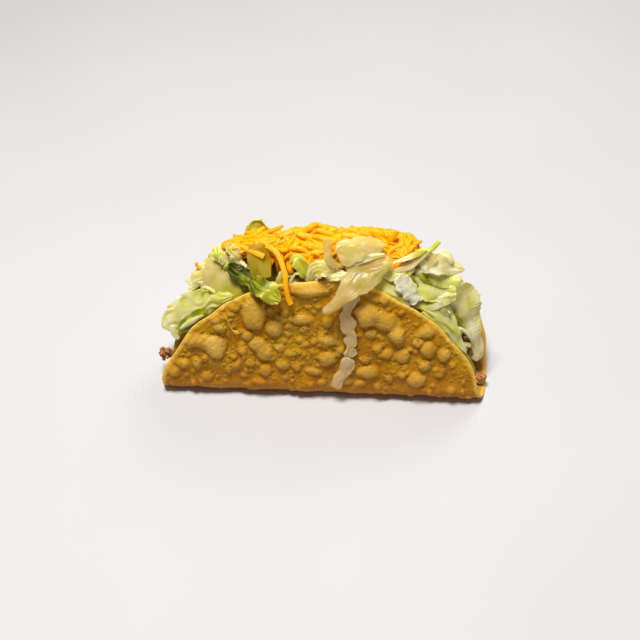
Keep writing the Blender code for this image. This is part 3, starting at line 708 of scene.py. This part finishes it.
# Strips that lie loose on the heap and belong to it.
LOOSE_LEAVES = {
    "cream_tip": dict(
        route=[(-45, 12.5, 46, 6), (-49.5, 13.5, 44, 7), (-52.5, 14, 42, 6), (-56, 15, 40.5, 1.4)],
        ruffle=0.6, waves=2.5, cup=0.5, crumple=0.5, crinkle=0.06, pleats=0.5, ragged=0.16,
        tones=(0.35, 0.14, -0.05), warm=(0.7, 0.4), seed=111),
    "left_crinkle": dict(
        route=[(-37.1, 13.3, 61.9, 3), (-35.5, 12.8, 60.2, 4.4), (-34, 11.8, 57.6, 4.8),
               (-32.9, 10.8, 54.9, 3.8), (-29.8, 9, 54.2, 2)],
        waves=2.5, crumple=0.4, pleats=0.4, folds=1.6, ragged=0.16, tones=(0.42, 0.3, -0.12),
        warm=(0.5, 0.3), seed=112),
    "left_roll": dict(
        route=[(-47, -1, 37, 1.2), (-52.5, -0.5, 32.5, 2.4), (-57, 0.3, 27.5, 1.6)],
        ruffle=0.1, cup=0.7, crumple=0.1, tones=(0.3, 0.24, 0), warm=0, seed=114),
    "left_curl": dict(
        route=[(-48.7, 7, 42.4, 0.7), (-47.1, 7, 44.6, 1), (-44.8, 6.4, 44.6, 1.2), (-41.2, 5, 43.1, 1.2),
               (-37.5, 3.6, 42.4, 0.7)],
        ruffle=0.0, cup=0.1, crumple=0.1, ragged=0.06, tones=(0.42, 0.36, 0), warm=(0.2, 0.1), seed=136),
    "left_tip": dict(
        route=[(-61, 2.8, 26.5, 1.6), (-60.3, 1.8, 23.5, 2.4), (-58.5, 1, 20.5, 1.8)],
        ruffle=0.1, cup=0.5, ragged=0.12, tones=(0.05, 0.2, 0), seed=115),
    "mid_tip_1": dict(
        route=[(-15.5, 4, 57.4, 0.6), (-16, 3.2, 55.2, 2.4), (-16.3, 2.4, 52, 4.2)],
        ruffle=0.2, cup=0.5, crumple=0.2, pleats=0.3, ragged=0.1, tones=(0.36, 0.56, 0), warm=(0.1, 0.2),
        seed=116),
    "mid_tip_2": dict(
        route=[(-8.8, 3.2, 57.2, 0.6), (-10.2, 3.4, 56.8, 0.8), (-11.4, 3, 54.8, 1),
               (-12.6, 2.6, 52.6, 1.6)],
        ruffle=0.1, cup=0.1, crumple=0.1, ragged=0.04, tones=(0.2, 0.36, 0), warm=(0.7, 0.6), seed=117),
    "mid_petal": dict(
        route=[(2.5, 2.8, 55.3, 2.4), (6, 3, 56.8, 3), (10, 4, 57.6, 1.4)],
        ruffle=0.6, waves=1.5, crumple=0.3, pleats=0.5, ragged=0.1, tones=(0.3, 0.2, -0.1), warm=0.3,
        seed=126),
    "flap": dict(
        route=[(9.5, 5.2, 58.5, 2.5), (13.5, 6.5, 61.8, 3.2), (18, 7.5, 63.2, 3), (24, 8.5, 64, 1)],
        ruffle=0.2, waves=1.0, ragged=0.05, tones=(0.2, 0.3, -0.1), warm=(0.3, 0.2), seed=127),
    "rim_leaf": dict(
        route=[(20.5, 4.8, 53, 6), (25.5, 3.5, 51, 8), (30, 2.6, 47.5, 7.5), (34.5, 2, 43, 4.5)],
        ruffle=0.2, waves=1.0, cup=0.8, pleats=0.7, folds=3.0, tones=(0.42, 0.45, -0.1), warm=0, seed=118),
    "under_strip": dict(
        route=[(23.8, 6.4, 56.3, 3), (27.7, 6.2, 55.7, 5), (32, 7.6, 56.4, 4.4), (35.5, 9.6, 57.6, 2.4)],
        waves=1.0, cup=0.5, crumple=0.3, pleats=0.4, folds=1.8, ragged=0.1, tones=(0.4, 0.34, -0.1),
        seed=137),
    "stem": dict(
        route=[(38.5, 12.2, 61.8, 1.5), (42, 13.5, 63.3, 1.6), (44.5, 15, 66, 1.8)],
        ruffle=0.0, cup=0.5, crumple=0.05, ragged=0.02, tones=(0.5, 0.4, 0), warm=0, seed=119),
    "thin_strip": dict(
        route=[(26.5, 6.8, 55.8, 2.2), (33, 8.5, 58.2, 2.8), (37, 10.5, 60.8, 2.8), (41, 12, 63.2, 1)],
        waves=1.2, cup=0.1, pleats=0.1, ragged=0.06, blunt=0.2, tones=(0.12, 0.25, -0.1), warm=(0.6, 0.4),
        seed=120),
    "olive": dict(
        route=[(38.5, 10.5, 55.5, 3), (40.5, 11.5, 58, 5), (43, 12.6, 61, 4)],
        crumple=0.3, pleats=0.3, ragged=0.1, tones=(0.4, 0.35, -0.1), warm=0.4, seed=128),
    "curled": dict(
        route=[(43, 15.5, 57, 3), (45, 15.7, 58, 4), (48, 15.5, 57.5, 4.4), (50.8, 14.8, 55.5, 3)],
        ruffle=0.5, waves=1.5, cup=0.5, crumple=0.35, pleats=0.3, ragged=0.15, tones=(0.1, 0.16, 0),
        warm=(0.6, 0.5), seed=121),
    "pocket": dict(
        route=[(38, 9.6, 53.2, 1.5), (41, 9.6, 51.5, 3.4), (44, 9.3, 49.8, 2)],
        ruffle=0.2, cup=0.2, tones=(0.62, 0.74, 0), seed=129),
    "slit": dict(
        route=[(32.5, 7.2, 56, 2), (35, 7, 52, 2.6), (37, 6.6, 48.5, 2.4), (39.5, 6, 45.5, 1.2)],
        ruffle=0.1, cup=0.2, crumple=0.1, tones=(0.74, 0.74, 0), warm=0, seed=130),
    "pale_right": dict(
        route=[(41.5, 10.2, 53, 5), (46, 10.8, 50.8, 7), (50, 11, 49.5, 6.5), (54, 11.5, 49.8, 4.4)],
        ruffle=0.4, waves=1.0, cup=0.8, crumple=0.2, pleats=0.4, tones=(0.45, 0.3, -0.05), warm=0,
        seed=122),
    "behind_right": dict(
        route=[(31.5, 5.5, 52.5, 5), (36.5, 6.6, 49.5, 9.5), (42, 7.6, 47.5, 10), (47.5, 8.2, 46.5, 10),
               (52.5, 8.8, 47, 8)],
        ruffle=0.4, waves=1.5, cup=0.8, crumple=0.3, pleats=0.8, folds=2.4, tones=(0.42, 0.34, -0.06),
        warm=0, seed=123),
    "mid_right": dict(
        route=[(34.5, 2.8, 45.8, 2.5), (38.5, 4, 43.8, 5.5), (43.5, 5.4, 43, 7), (47.5, 6.5, 44.5, 7),
               (51.5, 8, 46.5, 5.5)],
        waves=1.0, cup=1.0, pleats=0.4, tones=(0.4, 0.24, -0.08), warm=(0, 0.1), seed=124),
    "fold_right": dict(
        route=[(40, 2, 41, 3.5), (44.5, 2, 38.5, 7.5), (48.5, 2, 34.5, 10), (51.9, 1.5, 30, 8),
               (55.2, 0.8, 24.5, 5), (59, 0, 18.5, 3)],
        ruffle=0.4, waves=1.5, cup=1.0, crumple=0.35, pleats=0.8, folds=1.5, tones=(0.46, 0.3, -0.12),
        warm=0, seed=125),
    "ridge_right": dict(
        route=[(46.8, 4.8, 43, 3), (48.3, 4.4, 39, 5.5), (50, 4, 34.5, 6.5), (51.4, 3.6, 30.5, 4.6),
               (52.8, 3.2, 27, 1.8)],
        ruffle=0.2, waves=1.0, cup=0.9, crumple=0.25, pleats=0.5, folds=1.4, ragged=0.06,
        tones=(0.45, 0.35, -0.3), warm=(0, 0.1), seed=131),
    "back_tip": dict(
        route=[(-27.5, 24.6, 61.5, 3.6), (-26.3, 25, 63.8, 2.6), (-25.2, 25.3, 65.2, 0.8)],
        facing=WALL_FACING, ruffle=0.2, cup=0.4, crumple=0.2, tones=(0.6, 0.5, -0.15), warm=0, seed=132),
    "slit_right": dict(
        route=[(53.2, 6, 36.5, 0.8), (55.2, 5.6, 33, 1.8), (57.6, 5.2, 30, 1.2)],
        ruffle=0.1, cup=0.2, crumple=0.1, tones=(0.72, 0.72, 0), seed=133),
    "hem": dict(
        route=[(53.8, 4.4, 28, 1.2), (55.5, 4.4, 29.6, 1.6), (58.4, 4.4, 27.4, 1.4), (60.3, 4.6, 24, 1)],
        ruffle=0.1, cup=0.5, tones=(0.05, 0.1, 0), seed=134),
    "bridge": dict(
        route=[(55, 3.2, 22.3, 1.6), (58, 4, 20.8, 1.8), (61, 5, 19.8, 2)],
        ruffle=0.1, tones=(0.1, 0.2, 0), warm=0.5, seed=135),
}


def build_leaves(finish, clear_finish):
    """Every strip of lettuce that has a node of its own, and the loose ones."""
    for name, shape in {**LEAVES, **LOOSE_LEAVES}.items():
        shape = dict(shape)
        tones = shape.pop("tones")
        warm = shape.pop("warm", 0.1)
        places, u, v, flat = leaf_surface(**shape)
        fields = leaf_fields(u, v, flat, tones, warm, shape["seed"])
        slot = "lettuce_green" if name in GREEN_LEAVES else "lettuce_pale"
        surface = clear_finish if name in CLEAR_LEAVES else finish
        nodes = (f"lettuce_{name}",) if name in LEAVES else ()
        faces = (grid_faces(len(u), len(v)),)
        new_piece(f"leaf_{name}", places, faces, surface, nodes, fields, LEAF_WALL)


# ---------------------------------------------------------------- the heaps

# Strips of shredded lettuce: all over the heap, at its two ends, and behind the leaves on the left.
HEAP_STRIPS = 240
END_STRIPS = 75
ENDS_FROM = 42.0
LEFT_STRIPS = 36

# Grated cheese: strands, of which the first ones lie in the tail at the left, and broad flakes.
SHREDS = 420
TAIL_SHREDS = 44
FLAKES = 90
SHRED_STEPS = 8
TAIL_FROM = -18.0
TAIL_TOP = 62.3
TAIL_MIDDLE = 17.0
SQUEEZE_FROM = 30.0
SQUEEZE = 0.55

# Strands of cheese that can be told apart: x, y, z and width.  The first hangs over the front rim
# and has a node of its own.
STRANDS = {
    "long": [(-23, 12, 63.5, 1.6), (-18.5, 9.5, 63, 2.1), (-16, 6.5, 61, 2.2), (-14, 2, 57.5, 2),
             (-13.5, -0.8, 53.8, 2), (-12.5, -2.3, 49, 2.1), (-11.5, -3, 46.8, 2.2)],
    "crossing": [(-31.5, 12, 62.5, 1.8), (-27.5, 10, 62, 2.2), (-22.5, 8.5, 60.5, 2.3)],
    "arc": [(-41.5, 18, 55, 1.6), (-38.7, 18.3, 58.2, 2), (-32.5, 19, 60.3, 2.1), (-26, 18, 63, 2)],
    "left": [(-51, 16.5, 49, 1.2), (-50.5, 16, 47.5, 1.3), (-48, 15.5, 46, 1.4)],
    "spike_1": [(-23.5, 20, 62.5, 1.6), (-19, 20.5, 64.5, 1.7), (-16, 21, 66, 1.1)],
    "spike_2": [(-9.5, 20, 63, 1.8), (-5, 20.5, 66, 1.7), (-2.5, 21, 67.5, 1.1)],
    "spike_3": [(22.5, 18.5, 61.5, 1.7), (20.5, 19, 64, 1.6), (18.5, 20, 66, 1)],
    "spike_4": [(25.5, 18, 62, 2.4), (26.5, 18, 64, 2.4), (28.5, 18.5, 67.3, 1.4)],
}
STRAND_NODES = {"long": ("cheese_strand",)}

# The thread of corn on the front wall: x, s and width.
THREAD = ((-37.5, -46.6, 0.5), (-36.4, -44.4, 0.35), (-35.6, -42, 0.3), (-34.6, -40.4, 0.5),
          (-33.4, -39.8, 1.4), (-32.2, -39.2, 0.8))

# Ground meat: crumbs along the fold, of which the first ones lie in the gap by the right rim.
CRUMBS = 150
POCKET_CRUMBS = ((57.5, 9, 24.5), (58.5, 8.5, 21), (59.5, 8, 17), (60.5, 7, 13.5))
GRAINS = 20
LOOSE_CRUMB_SEEDS = (74, 76)


def node_triangles(name):
    """The corners, in mm, of a CAD node's triangles, as an array of n × 3 × 3."""
    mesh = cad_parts[name].data
    mesh.calc_loop_triangles()
    points = np.zeros(len(mesh.vertices) * 3, np.float32)
    mesh.vertices.foreach_get("co", points)
    corners = np.zeros(len(mesh.loop_triangles) * 3, np.int32)
    mesh.loop_triangles.foreach_get("vertices", corners)
    return points.reshape(-1, 3)[corners].reshape(-1, 3, 3).astype(float) / MM


def scatter(name, count, seed, lowest=-1.0):
    """`count` even random places on a heap's outline, with the way out at each.

    Only faces whose way out rises to at least `lowest` take part.
    """
    triangles = node_triangles(name)
    crossed = np.cross(triangles[:, 1] - triangles[:, 0], triangles[:, 2] - triangles[:, 0])
    area = np.linalg.norm(crossed, axis=1)
    outward = unit(crossed)
    area = np.where(outward[:, 2] >= lowest, area, 0)
    draw = np.random.default_rng(seed)
    chosen = draw.choice(len(area), count, p=area / area.sum())
    a, b = np.sort(draw.uniform(0, 1, (2, count)), axis=0)
    weights = np.stack((a, b - a, 1 - b), axis=-1)
    return np.einsum("nk,nkc->nc", weights, triangles[chosen]), outward[chosen]


def heap_top(name, cell=1.5, slope=1.2):
    """A heap's upper side as a function of x and y, carried on past its edge by a falling slope.

    The highest of many places on the node is kept in each cell of a grid that goes `margin` mm past
    it; empty cells take the highest neighbour less slope · cell, ring after ring, and a value between
    cells is mixed from the nearest four.
    """
    empty, margin = -1e3, 12
    places, _ = scatter(name, 60000, 40)
    low = places.min(axis=0)[:2] - margin
    counts = np.ceil((places.max(axis=0)[:2] + margin - low) / cell).astype(int) + 1
    top = np.full(counts, empty)
    index = np.round((places[:, :2] - low) / cell).astype(int)
    np.maximum.at(top, (index[:, 0], index[:, 1]), places[:, 2])
    for _ in range(12):
        padded = np.pad(top, 1, constant_values=empty)
        beside = np.max((padded[2:, 1:-1], padded[:-2, 1:-1], padded[1:-1, 2:], padded[1:-1, :-2]), axis=0)
        top = np.where(top < 0, np.maximum(top, beside - slope * cell), top)
    top = np.maximum(top, 0)

    def height(x, y):
        """The upper side's z at x and y."""
        a = np.clip((x - low[0]) / cell, 0, counts[0] - 1.001)
        b = np.clip((y - low[1]) / cell, 0, counts[1] - 1.001)
        i, j = a.astype(int), b.astype(int)
        a, b = a - i, b - j
        return ((1 - a) * (1 - b) * top[i, j] + a * (1 - b) * top[i + 1, j]
                + (1 - a) * b * top[i, j + 1] + a * b * top[i + 1, j + 1])
    return height


def build_core(name, node, middle, keep, finish, tone, warm=0.0):
    """The inside of a heap: the node's own outline, scaled by `keep`.

    It is drawn in towards the line along X at the y and z of `middle`, and along X towards its
    middle.
    """
    triangles = node_triangles(node)
    points, corners = np.unique(triangles.reshape(-1, 3).round(3), axis=0, return_inverse=True)
    axis = points * (1, 0, 0) + (0, *middle)
    points = axis + (points - axis) * keep
    points[:, 0] = points[:, 0].mean() + (points[:, 0] - points[:, 0].mean()) * keep
    level = np.ones(len(points))
    fields = {"tone": level * tone, "warm": level * warm, "along": points[:, 0], "across": points[:, 2]}
    new_piece(name, points, (corners.reshape(-1, 3),), finish, (node,), fields)


def wall_section(wall):
    """The inner face of one wall in section, beyond the flat: how far along, out and up."""
    run = np.linspace(0, 75, 300)
    out, up, slope = wall_run(run, wall, 0.0)
    return run, out - THICKNESS * np.sin(slope), up + THICKNESS * np.cos(slope)


def between_walls(places, margin):
    """Places pulled in so that they stay between the walls wherever they lie below the rims.

    Both walls keep one section along the whole shell and only move out with the flat between them.
    Above a rim a place may reach out by 0.8 of its height over it.
    """
    x, y, z = np.moveaxis(places, -1, 0)
    limits = []
    for wall, reach in ((FRONT, FRONT_REACH), (REAR, REAR_REACH)):
        skew = np.clip((z + REAR["flat"] - SHIFT_START) / (SHIFT_END - SHIFT_START), 0, 1)
        across = x if wall["side"] < 0 else (x - REAR_SHIFT * skew) / (1 - REAR_NARROWING * skew)
        run, out, up = wall_section(wall)
        flat = flat_at(across, wall)
        half = np.sqrt(np.clip(1 - (across / HALF_LENGTH) ** 2, 0, 1))
        rim = np.interp(reach * half + wall["side"] * DISC_CENTRE - flat, run, up)
        over = np.maximum(z - rim, 0)
        limits.append(flat + np.interp(z, up, out) - margin + 0.8 * over)
    y = np.clip(y, -limits[0], limits[1])
    z = np.maximum(z, THICKNESS + margin)
    return np.stack((x, y, z), axis=-1)


def strips(middle, way, out, length, width, bend, ruffle, seed):
    """Many short strips of leaf at once, as n grids of 13 × 5 points.

    Each runs along `way` through its middle, arches away from `out` by bend · t² and waves across
    itself; t runs from -1 to 1 along it and v from -1 to 1 across it.  Its edges are waved and its
    middle folded by shares of `ruffle`, and its width tapers by √(1.04 - t⁴).
    """
    draw = np.random.default_rng(seed)
    count = len(middle)
    t = np.linspace(-1, 1, 13)
    v = np.linspace(-1, 1, 5)
    side = unit(np.cross(out, way))
    phase = draw.uniform(0, 2 * math.pi, (count, 4, 1))
    taper = np.sqrt(np.clip(1.04 - np.abs(t) ** 4, 0.05, 1)) * (1 + 0.16 * np.sin(4 * t + phase[:, 3]))
    snake = 0.12 * length[:, None] * np.sin(2.2 * t + phase[:, 0])
    arch = -bend[:, None] * t ** 2 + ruffle[:, None] * np.sin(5 * t + phase[:, 1])
    line = (middle[:, None] + way[:, None] * (length[:, None] / 2 * t)[..., None]
            + side[:, None] * snake[..., None] + out[:, None] * arch[..., None])
    tilt = 0.9 * np.sin(1.7 * t + phase[:, 2])
    half = (width[:, None] / 2 * taper)[..., None] * v
    edge = ruffle[:, None, None] * 0.7 * v ** 2 * np.sin(9 * t[:, None] + phase[:, 0][..., None] + 2 * v)
    fold = ruffle[:, None, None] * 0.8 * np.abs(v - 0.5 * np.sin(2 * t[:, None] + phase[:, 1][..., None]))
    places = line[:, :, None] + side[:, None, None] * (half * np.cos(tilt)[..., None])[..., None]
    places = places + out[:, None, None] * (half * np.sin(tilt)[..., None] + edge - fold)[..., None]
    along = np.broadcast_to((length[:, None] / 2 * t)[..., None], half.shape)
    return places, along, half


def build_lettuce_shreds(finish):
    """The heap's shredded lettuce: strips lying over the core, tucked between the walls."""
    draw = np.random.default_rng(41)
    middle, out = scatter("lettuce", HEAP_STRIPS, 42, -0.25)
    more, more_out = scatter("lettuce", 1600, 44, -0.4)
    ends = np.flatnonzero(np.abs(more[:, 0]) > ENDS_FROM)[:END_STRIPS]
    under = draw.uniform((-41, 16, 48), (-21, 23, 55), (LEFT_STRIPS, 3))
    middle = np.concatenate((middle, more[ends], under))
    out = np.concatenate((out, more_out[ends], np.tile((0.0, 0.0, 1.0), (len(under), 1))))
    count = len(middle)
    way = unit(draw.normal(size=(count, 3)) * (1.0, 0.45, 0.45))
    way = unit(way - out * (way * out).sum(-1, keepdims=True) * 0.85)
    length = draw.uniform(9, 22, count) * (1 - 0.5 * smooth(34, 50, np.abs(middle[:, 0])))
    width = draw.uniform(2.5, 7.0, count)
    middle = middle - out * draw.uniform(0.8, 3.2, (count, 1))
    places, along, across = strips(middle, way, out, length, width, draw.uniform(0, 3, count),
                                   draw.uniform(0.3, 1.0, count), 43)
    places = between_walls(places, 1.2)
    tone = draw.uniform(0.05, 0.52, (count, 1, 1))
    tone = tone + np.where(draw.uniform(size=(count, 1, 1)) > 0.88, 0.35, 0)
    tone = tone + 0.10 * np.sin(along / 3 + across)
    warm = np.broadcast_to(draw.uniform(0, 0.5, (count, 1, 1)), tone.shape)
    rows, columns = places.shape[1:3]
    faces = (repeated(grid_faces(rows, columns), count, rows * columns),)
    fields = {"tone": np.clip(tone, 0, 1), "warm": warm, "across": across,
              "along": along + np.arange(count)[:, None, None] * 7.0}
    new_piece("lettuce_shreds", places, faces, finish, ("lettuce",), fields, 0.35)


def tubes(lines, widths, heights, out, sides=8, twist=0.0):
    """Closed strands along n lines at once: a rounded oblong of width × height stands across each step.

    The oblong's points are (|cos|^0.6, |sin|^0.6) with the signs kept, turned by `twist` along the
    strand.  Returns the places, as n × steps × sides, and the faces of one strand with its two caps.
    """
    steps = lines.shape[1]
    tangent = unit(np.gradient(lines, axis=1))
    side = unit(np.cross(tangent, out))
    over = np.cross(side, tangent)
    cosine, sine = (np.asarray(wave(twist))[..., None] for wave in (np.cos, np.sin))
    side, over = side * cosine + over * sine, over * cosine - side * sine
    turn = (np.arange(sides) + 0.5) * 2 * math.pi / sides
    wide, tall = (np.sign(wave) * np.abs(wave) ** 0.6 for wave in (np.cos(turn), np.sin(turn)))
    ring = (side[:, :, None] * (wide[:, None] * widths[:, :, None, None] / 2)
            + over[:, :, None] * (tall[:, None] * heights[:, :, None, None] / 2))
    wall = grid_faces(steps, sides, around=True)
    caps = np.stack((np.arange(sides)[::-1], np.arange(sides) + (steps - 1) * sides))
    return lines[:, :, None] + ring, wall, caps


def build_cheese_shreds(finish):
    """The grated cheese: curved strands laid flat over one another, with broad flakes on the right.

    A strand is an arc in plan; each of its places takes the heap's height there, less how deep in
    the heap the strand lies, plus a slight tilt.  Past SQUEEZE_FROM the arcs are drawn in.  In the
    tail they lie no lower than a ridge, which falls by 0.3 a mm beyond x = -26 mm and by
    0.03 · (y - TAIL_MIDDLE)² to its sides.
    """
    count = SHREDS + FLAKES
    draw = np.random.default_rng(51)
    flake = np.arange(count) >= SHREDS
    places, _ = scatter("cheese", count * 3, 52, 0.2)
    right = places[places[:, 0] > 0][:FLAKES]
    middle = np.concatenate((places[-SHREDS:], right))
    middle[:TAIL_SHREDS] = draw.uniform((-35.5, 14, 0), (-20, 22, 0), (TAIL_SHREDS, 3))
    height = heap_top("cheese")
    heading = draw.normal(0, 0.75, (count, 1))
    length = np.where(flake, draw.uniform(5, 10, count), draw.uniform(5, 17, count))[:, None]
    length[:TAIL_SHREDS] *= 0.65
    t = np.linspace(-1, 1, SHRED_STEPS)
    curl = draw.uniform(-0.2, 0.2, (count, 1)) * length
    along, beside = length / 2 * t, curl * (t ** 2 - 0.4)
    x = middle[:, :1] + along * np.cos(heading) - beside * np.sin(heading)
    x = x - SQUEEZE * np.maximum(x - SQUEEZE_FROM, 0)
    y = middle[:, 1:2] + along * np.sin(heading) + beside * np.cos(heading)
    depth = draw.uniform(0.3, 3.6, count)[:, None] + 0.9 * smooth(8, 25, x)
    tilt = draw.normal(0, 0.24, (count, 1)) * along
    arch = draw.uniform(-0.02, 0.09, (count, 1)) * length * t ** 2
    ridge = TAIL_TOP - 0.3 * np.maximum(-26 - x, 0) - 0.03 * (y - TAIL_MIDDLE) ** 2
    top = np.maximum(height(x, y), np.where(x < TAIL_FROM, ridge, 0))
    lines = between_walls(np.stack((x, y, top - depth + tilt - arch), axis=-1), 1.6)
    taper = 0.7 + 0.3 * np.sqrt(np.clip(1 - t ** 6, 0, 1))
    widths = np.where(flake, draw.uniform(3.2, 5.6, count), draw.uniform(1.9, 3.1, count))[:, None] * taper
    heights = np.where(flake, draw.uniform(0.8, 1.1, count), draw.uniform(1.3, 2.0, count))[:, None] * taper
    twist = draw.normal(0, 0.7, (count, 1)) + draw.normal(0, 0.5, (count, 1)) * t
    places, wall, caps = tubes(lines, widths, heights, (0.0, 0.0, 1.0), 8, twist)
    size = SHRED_STEPS * places.shape[2]
    faces = (repeated(wall, count, size), repeated(caps, count, size))
    # Painted shade: a strand's tone falls the deeper it lies in the heap, though the cheddar ramp keeps the
    # colours nearly alike.
    tone = 0.85 - 0.2 * (depth - 0.3) + draw.uniform(-0.15, 0.15, (count, 1))
    tone = np.broadcast_to(np.clip(tone, 0, 1)[..., None], places.shape[:3])
    new_piece("cheese_shreds", places, faces, finish, ("cheese",), {"tone": tone})


def build_thread(finish):
    """A thread of corn with a flake at its end, stuck to the front wall on the left."""
    rows = smooth_rows(wall_route(*THREAD, lift=1.5), 40)
    line, width = rows[None, :, :3], rows[None, :, 3]
    places, wall, caps = tubes(line, width, width * 0.3 + 0.15, WALL_FACING)
    level = np.ones(places.shape[:3])
    # The thread takes the blister-top colour, partly painted light, and half the rim's painted highlight.
    fields = {"puff": level, "edge": level * 0.5}
    new_piece("corn_thread", places, (wall, caps), finish, (), fields)


def build_strands(finish):
    """The strands of cheese that can be told apart, three quarters as thick as they are wide."""
    for number, (name, route) in enumerate(STRANDS.items()):
        rows = smooth_rows(route, 48)
        line, width = rows[None, :, :3], rows[None, :, 3]
        places, wall, caps = tubes(line, width, width * 0.75, FACING, 12)
        fields = {"tone": 0.75 + 0.2 * ripple(places, 6.0, 61 + number)}
        nodes = STRAND_NODES.get(name, ())
        new_piece(f"cheese_strand_{name}", places, (wall, caps), finish, nodes, fields)


def lumps(middle, radius, seed, rings=7, sides=8):
    """Crumbs as n closed lumps: rings of a sphere whose radius is uneven, with a point at each pole.

    Returns their places, n × points × 3, and the quads and the fans at the poles of one lump.
    """
    draw = np.random.default_rng(seed)
    count = len(middle)
    polar = np.linspace(0, math.pi, rings + 2)[:, None]
    turn = np.arange(sides) * 2 * math.pi / sides
    across = np.sin(polar)
    ball = np.stack((across * np.cos(turn), across * np.sin(turn), np.cos(polar) + 0 * turn), axis=-1)
    stretch = draw.uniform(0.7, 1.25, (count, 1, 1, 3))
    shift = draw.uniform(0, 50, (count, 1, 1, 3))
    swell = 1 + 0.32 * ripple(ball[None] + shift, 1.5, seed + 1)
    shape = middle[:, None, None] + ball[None] * stretch * (swell * radius[:, None, None])[..., None]
    body = shape[:, 1:-1].reshape(count, -1, 3)
    poles = shape[:, [0, -1], :1].reshape(count, 2, 3)
    last = rings * sides
    around = np.arange(sides)
    ahead = (around + 1) % sides
    top = np.stack((around, ahead, np.full(sides, last)), axis=-1)
    foot = np.stack((ahead + last - sides, around + last - sides, np.full(sides, last + 1)), axis=-1)
    quads = grid_faces(rings, sides, around=True)[:, ::-1]
    return np.concatenate((body, poles), axis=1), quads, np.vstack((top, foot))


def lump_piece(name, lumped, finish, node):
    """One piece of meat from the places, quads and fans of its lumps."""
    places, quads, fans = lumped
    count, size = places.shape[:2]
    faces = (repeated(quads, count, size), repeated(fans, count, size))
    new_piece(name, places, faces, finish, (node,))


def build_meat(finish):
    """The ground meat: crumbs over the core along the fold, and one loose crumb at each end.

    A loose crumb is many small grains inside the box of its node.
    """
    draw = np.random.default_rng(71)
    middle, out = scatter("meat", CRUMBS, 72)
    middle = between_walls(middle - out * 0.8, 2.4)
    middle[:len(POCKET_CRUMBS)] = POCKET_CRUMBS
    places, quads, fans = lumps(middle, draw.uniform(1.4, 3.0, CRUMBS), 73)
    lump_piece("meat_crumbles", (between_walls(places, 0.25), quads, fans), finish, "meat")
    for number, seed in enumerate(LOOSE_CRUMB_SEEDS, 1):
        node = f"meat_crumb_{number}"
        low, high = (np.array(corner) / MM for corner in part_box(node))
        draw = np.random.default_rng(seed)
        middle = (low + high) / 2 + draw.uniform(-0.36, 0.36, (GRAINS, 3)) * (high - low)
        grains = lumps(middle, draw.uniform(0.7, 1.4, GRAINS), seed + 1, 10, 14)
        lump_piece(f"loose_crumb_{number}", grains, finish, node)


# ---------------------------------------------------------------- stage

# Half the floor's side, and the lamps: name, place, width and power, in metres and watts.
FLOOR_REACH = 3.0
LAMPS = (("key", (-0.10, -0.06, 0.80), 0.25, 8.2), ("back", (0.25, 0.6, 0.6), 0.4, 2.2))
LAMPS_AIM = (0.0, 0.01, 0.03)
# The camera's place, in mm, and the way it looks.
CAMERA_PLACE = (14.5, -279.1, 316.0)
CAMERA_WAY = (-0.03783, 0.7052, -0.7080)


def build_stage():
    """A pale floor, a soft lamp from above, a weaker one from behind, and a dim warm sky."""
    mesh = bpy.data.meshes.new("floor")
    corners = [(x * FLOOR_REACH, y * FLOOR_REACH, 0) for x, y in ((-1, -1), (1, -1), (1, 1), (-1, 1))]
    mesh.from_pydata(corners, [], [(0, 1, 2, 3)])
    mesh.materials.append(plain_floor())
    floor = bpy.data.objects.new("floor", mesh)
    bpy.context.scene.collection.objects.link(floor)
    for name, place, width, power in LAMPS:
        light = bpy.data.lights.new(name, "AREA")
        light.shape = "DISK"
        light.size = width
        light.energy = power
        lamp = bpy.data.objects.new(name, light)
        lamp.location = place
        lamp.rotation_euler = (Vector(LAMPS_AIM) - Vector(place)).to_track_quat("-Z", "Y").to_euler()
        bpy.context.scene.collection.objects.link(lamp)
    world = bpy.data.worlds.new("studio")
    world.use_nodes = True
    background = world.node_tree.nodes["Background"]
    background.inputs["Color"].default_value = (1.0, 0.955, 0.9, 1.0)
    background.inputs["Strength"].default_value = 0.17
    bpy.context.scene.world = world
    bpy.context.scene.view_settings.view_transform = "Standard"


def build_camera():
    """The camera stands in front and above, looking 45 degrees down."""
    camera = bpy.data.cameras.new("camera")
    camera.lens = 56.25
    camera.sensor_width = 36.0
    holder = bpy.data.objects.new("camera", camera)
    holder.location = Vector(CAMERA_PLACE) * MM
    holder.rotation_euler = Vector(CAMERA_WAY).to_track_quat("-Z", "Y").to_euler()
    bpy.context.scene.collection.objects.link(holder)
    bpy.context.scene.camera = holder


def build():
    """Every piece of the taco with its finish, from the shell inwards, and the stage."""
    corn, leaf, cheese, beef = fried_corn(), lettuce("lettuce"), cheddar(), ground_beef()
    build_camera()
    build_shell(corn)
    build_thread(corn)
    build_leaves(leaf, lettuce("clear_lettuce", 0.4))
    build_core("lettuce_core", "lettuce", (12, 33), 0.86, leaf, 0.55, 0.3)
    build_lettuce_shreds(leaf)
    build_core("cheese_core", "cheese", (17, 59), 0.78, cheese, 0.2)
    build_cheese_shreds(cheese)
    build_strands(cheese)
    build_core("meat_core", "meat", (6, 9), 0.85, beef, 0.0)
    build_meat(beef)
    build_stage()


build()
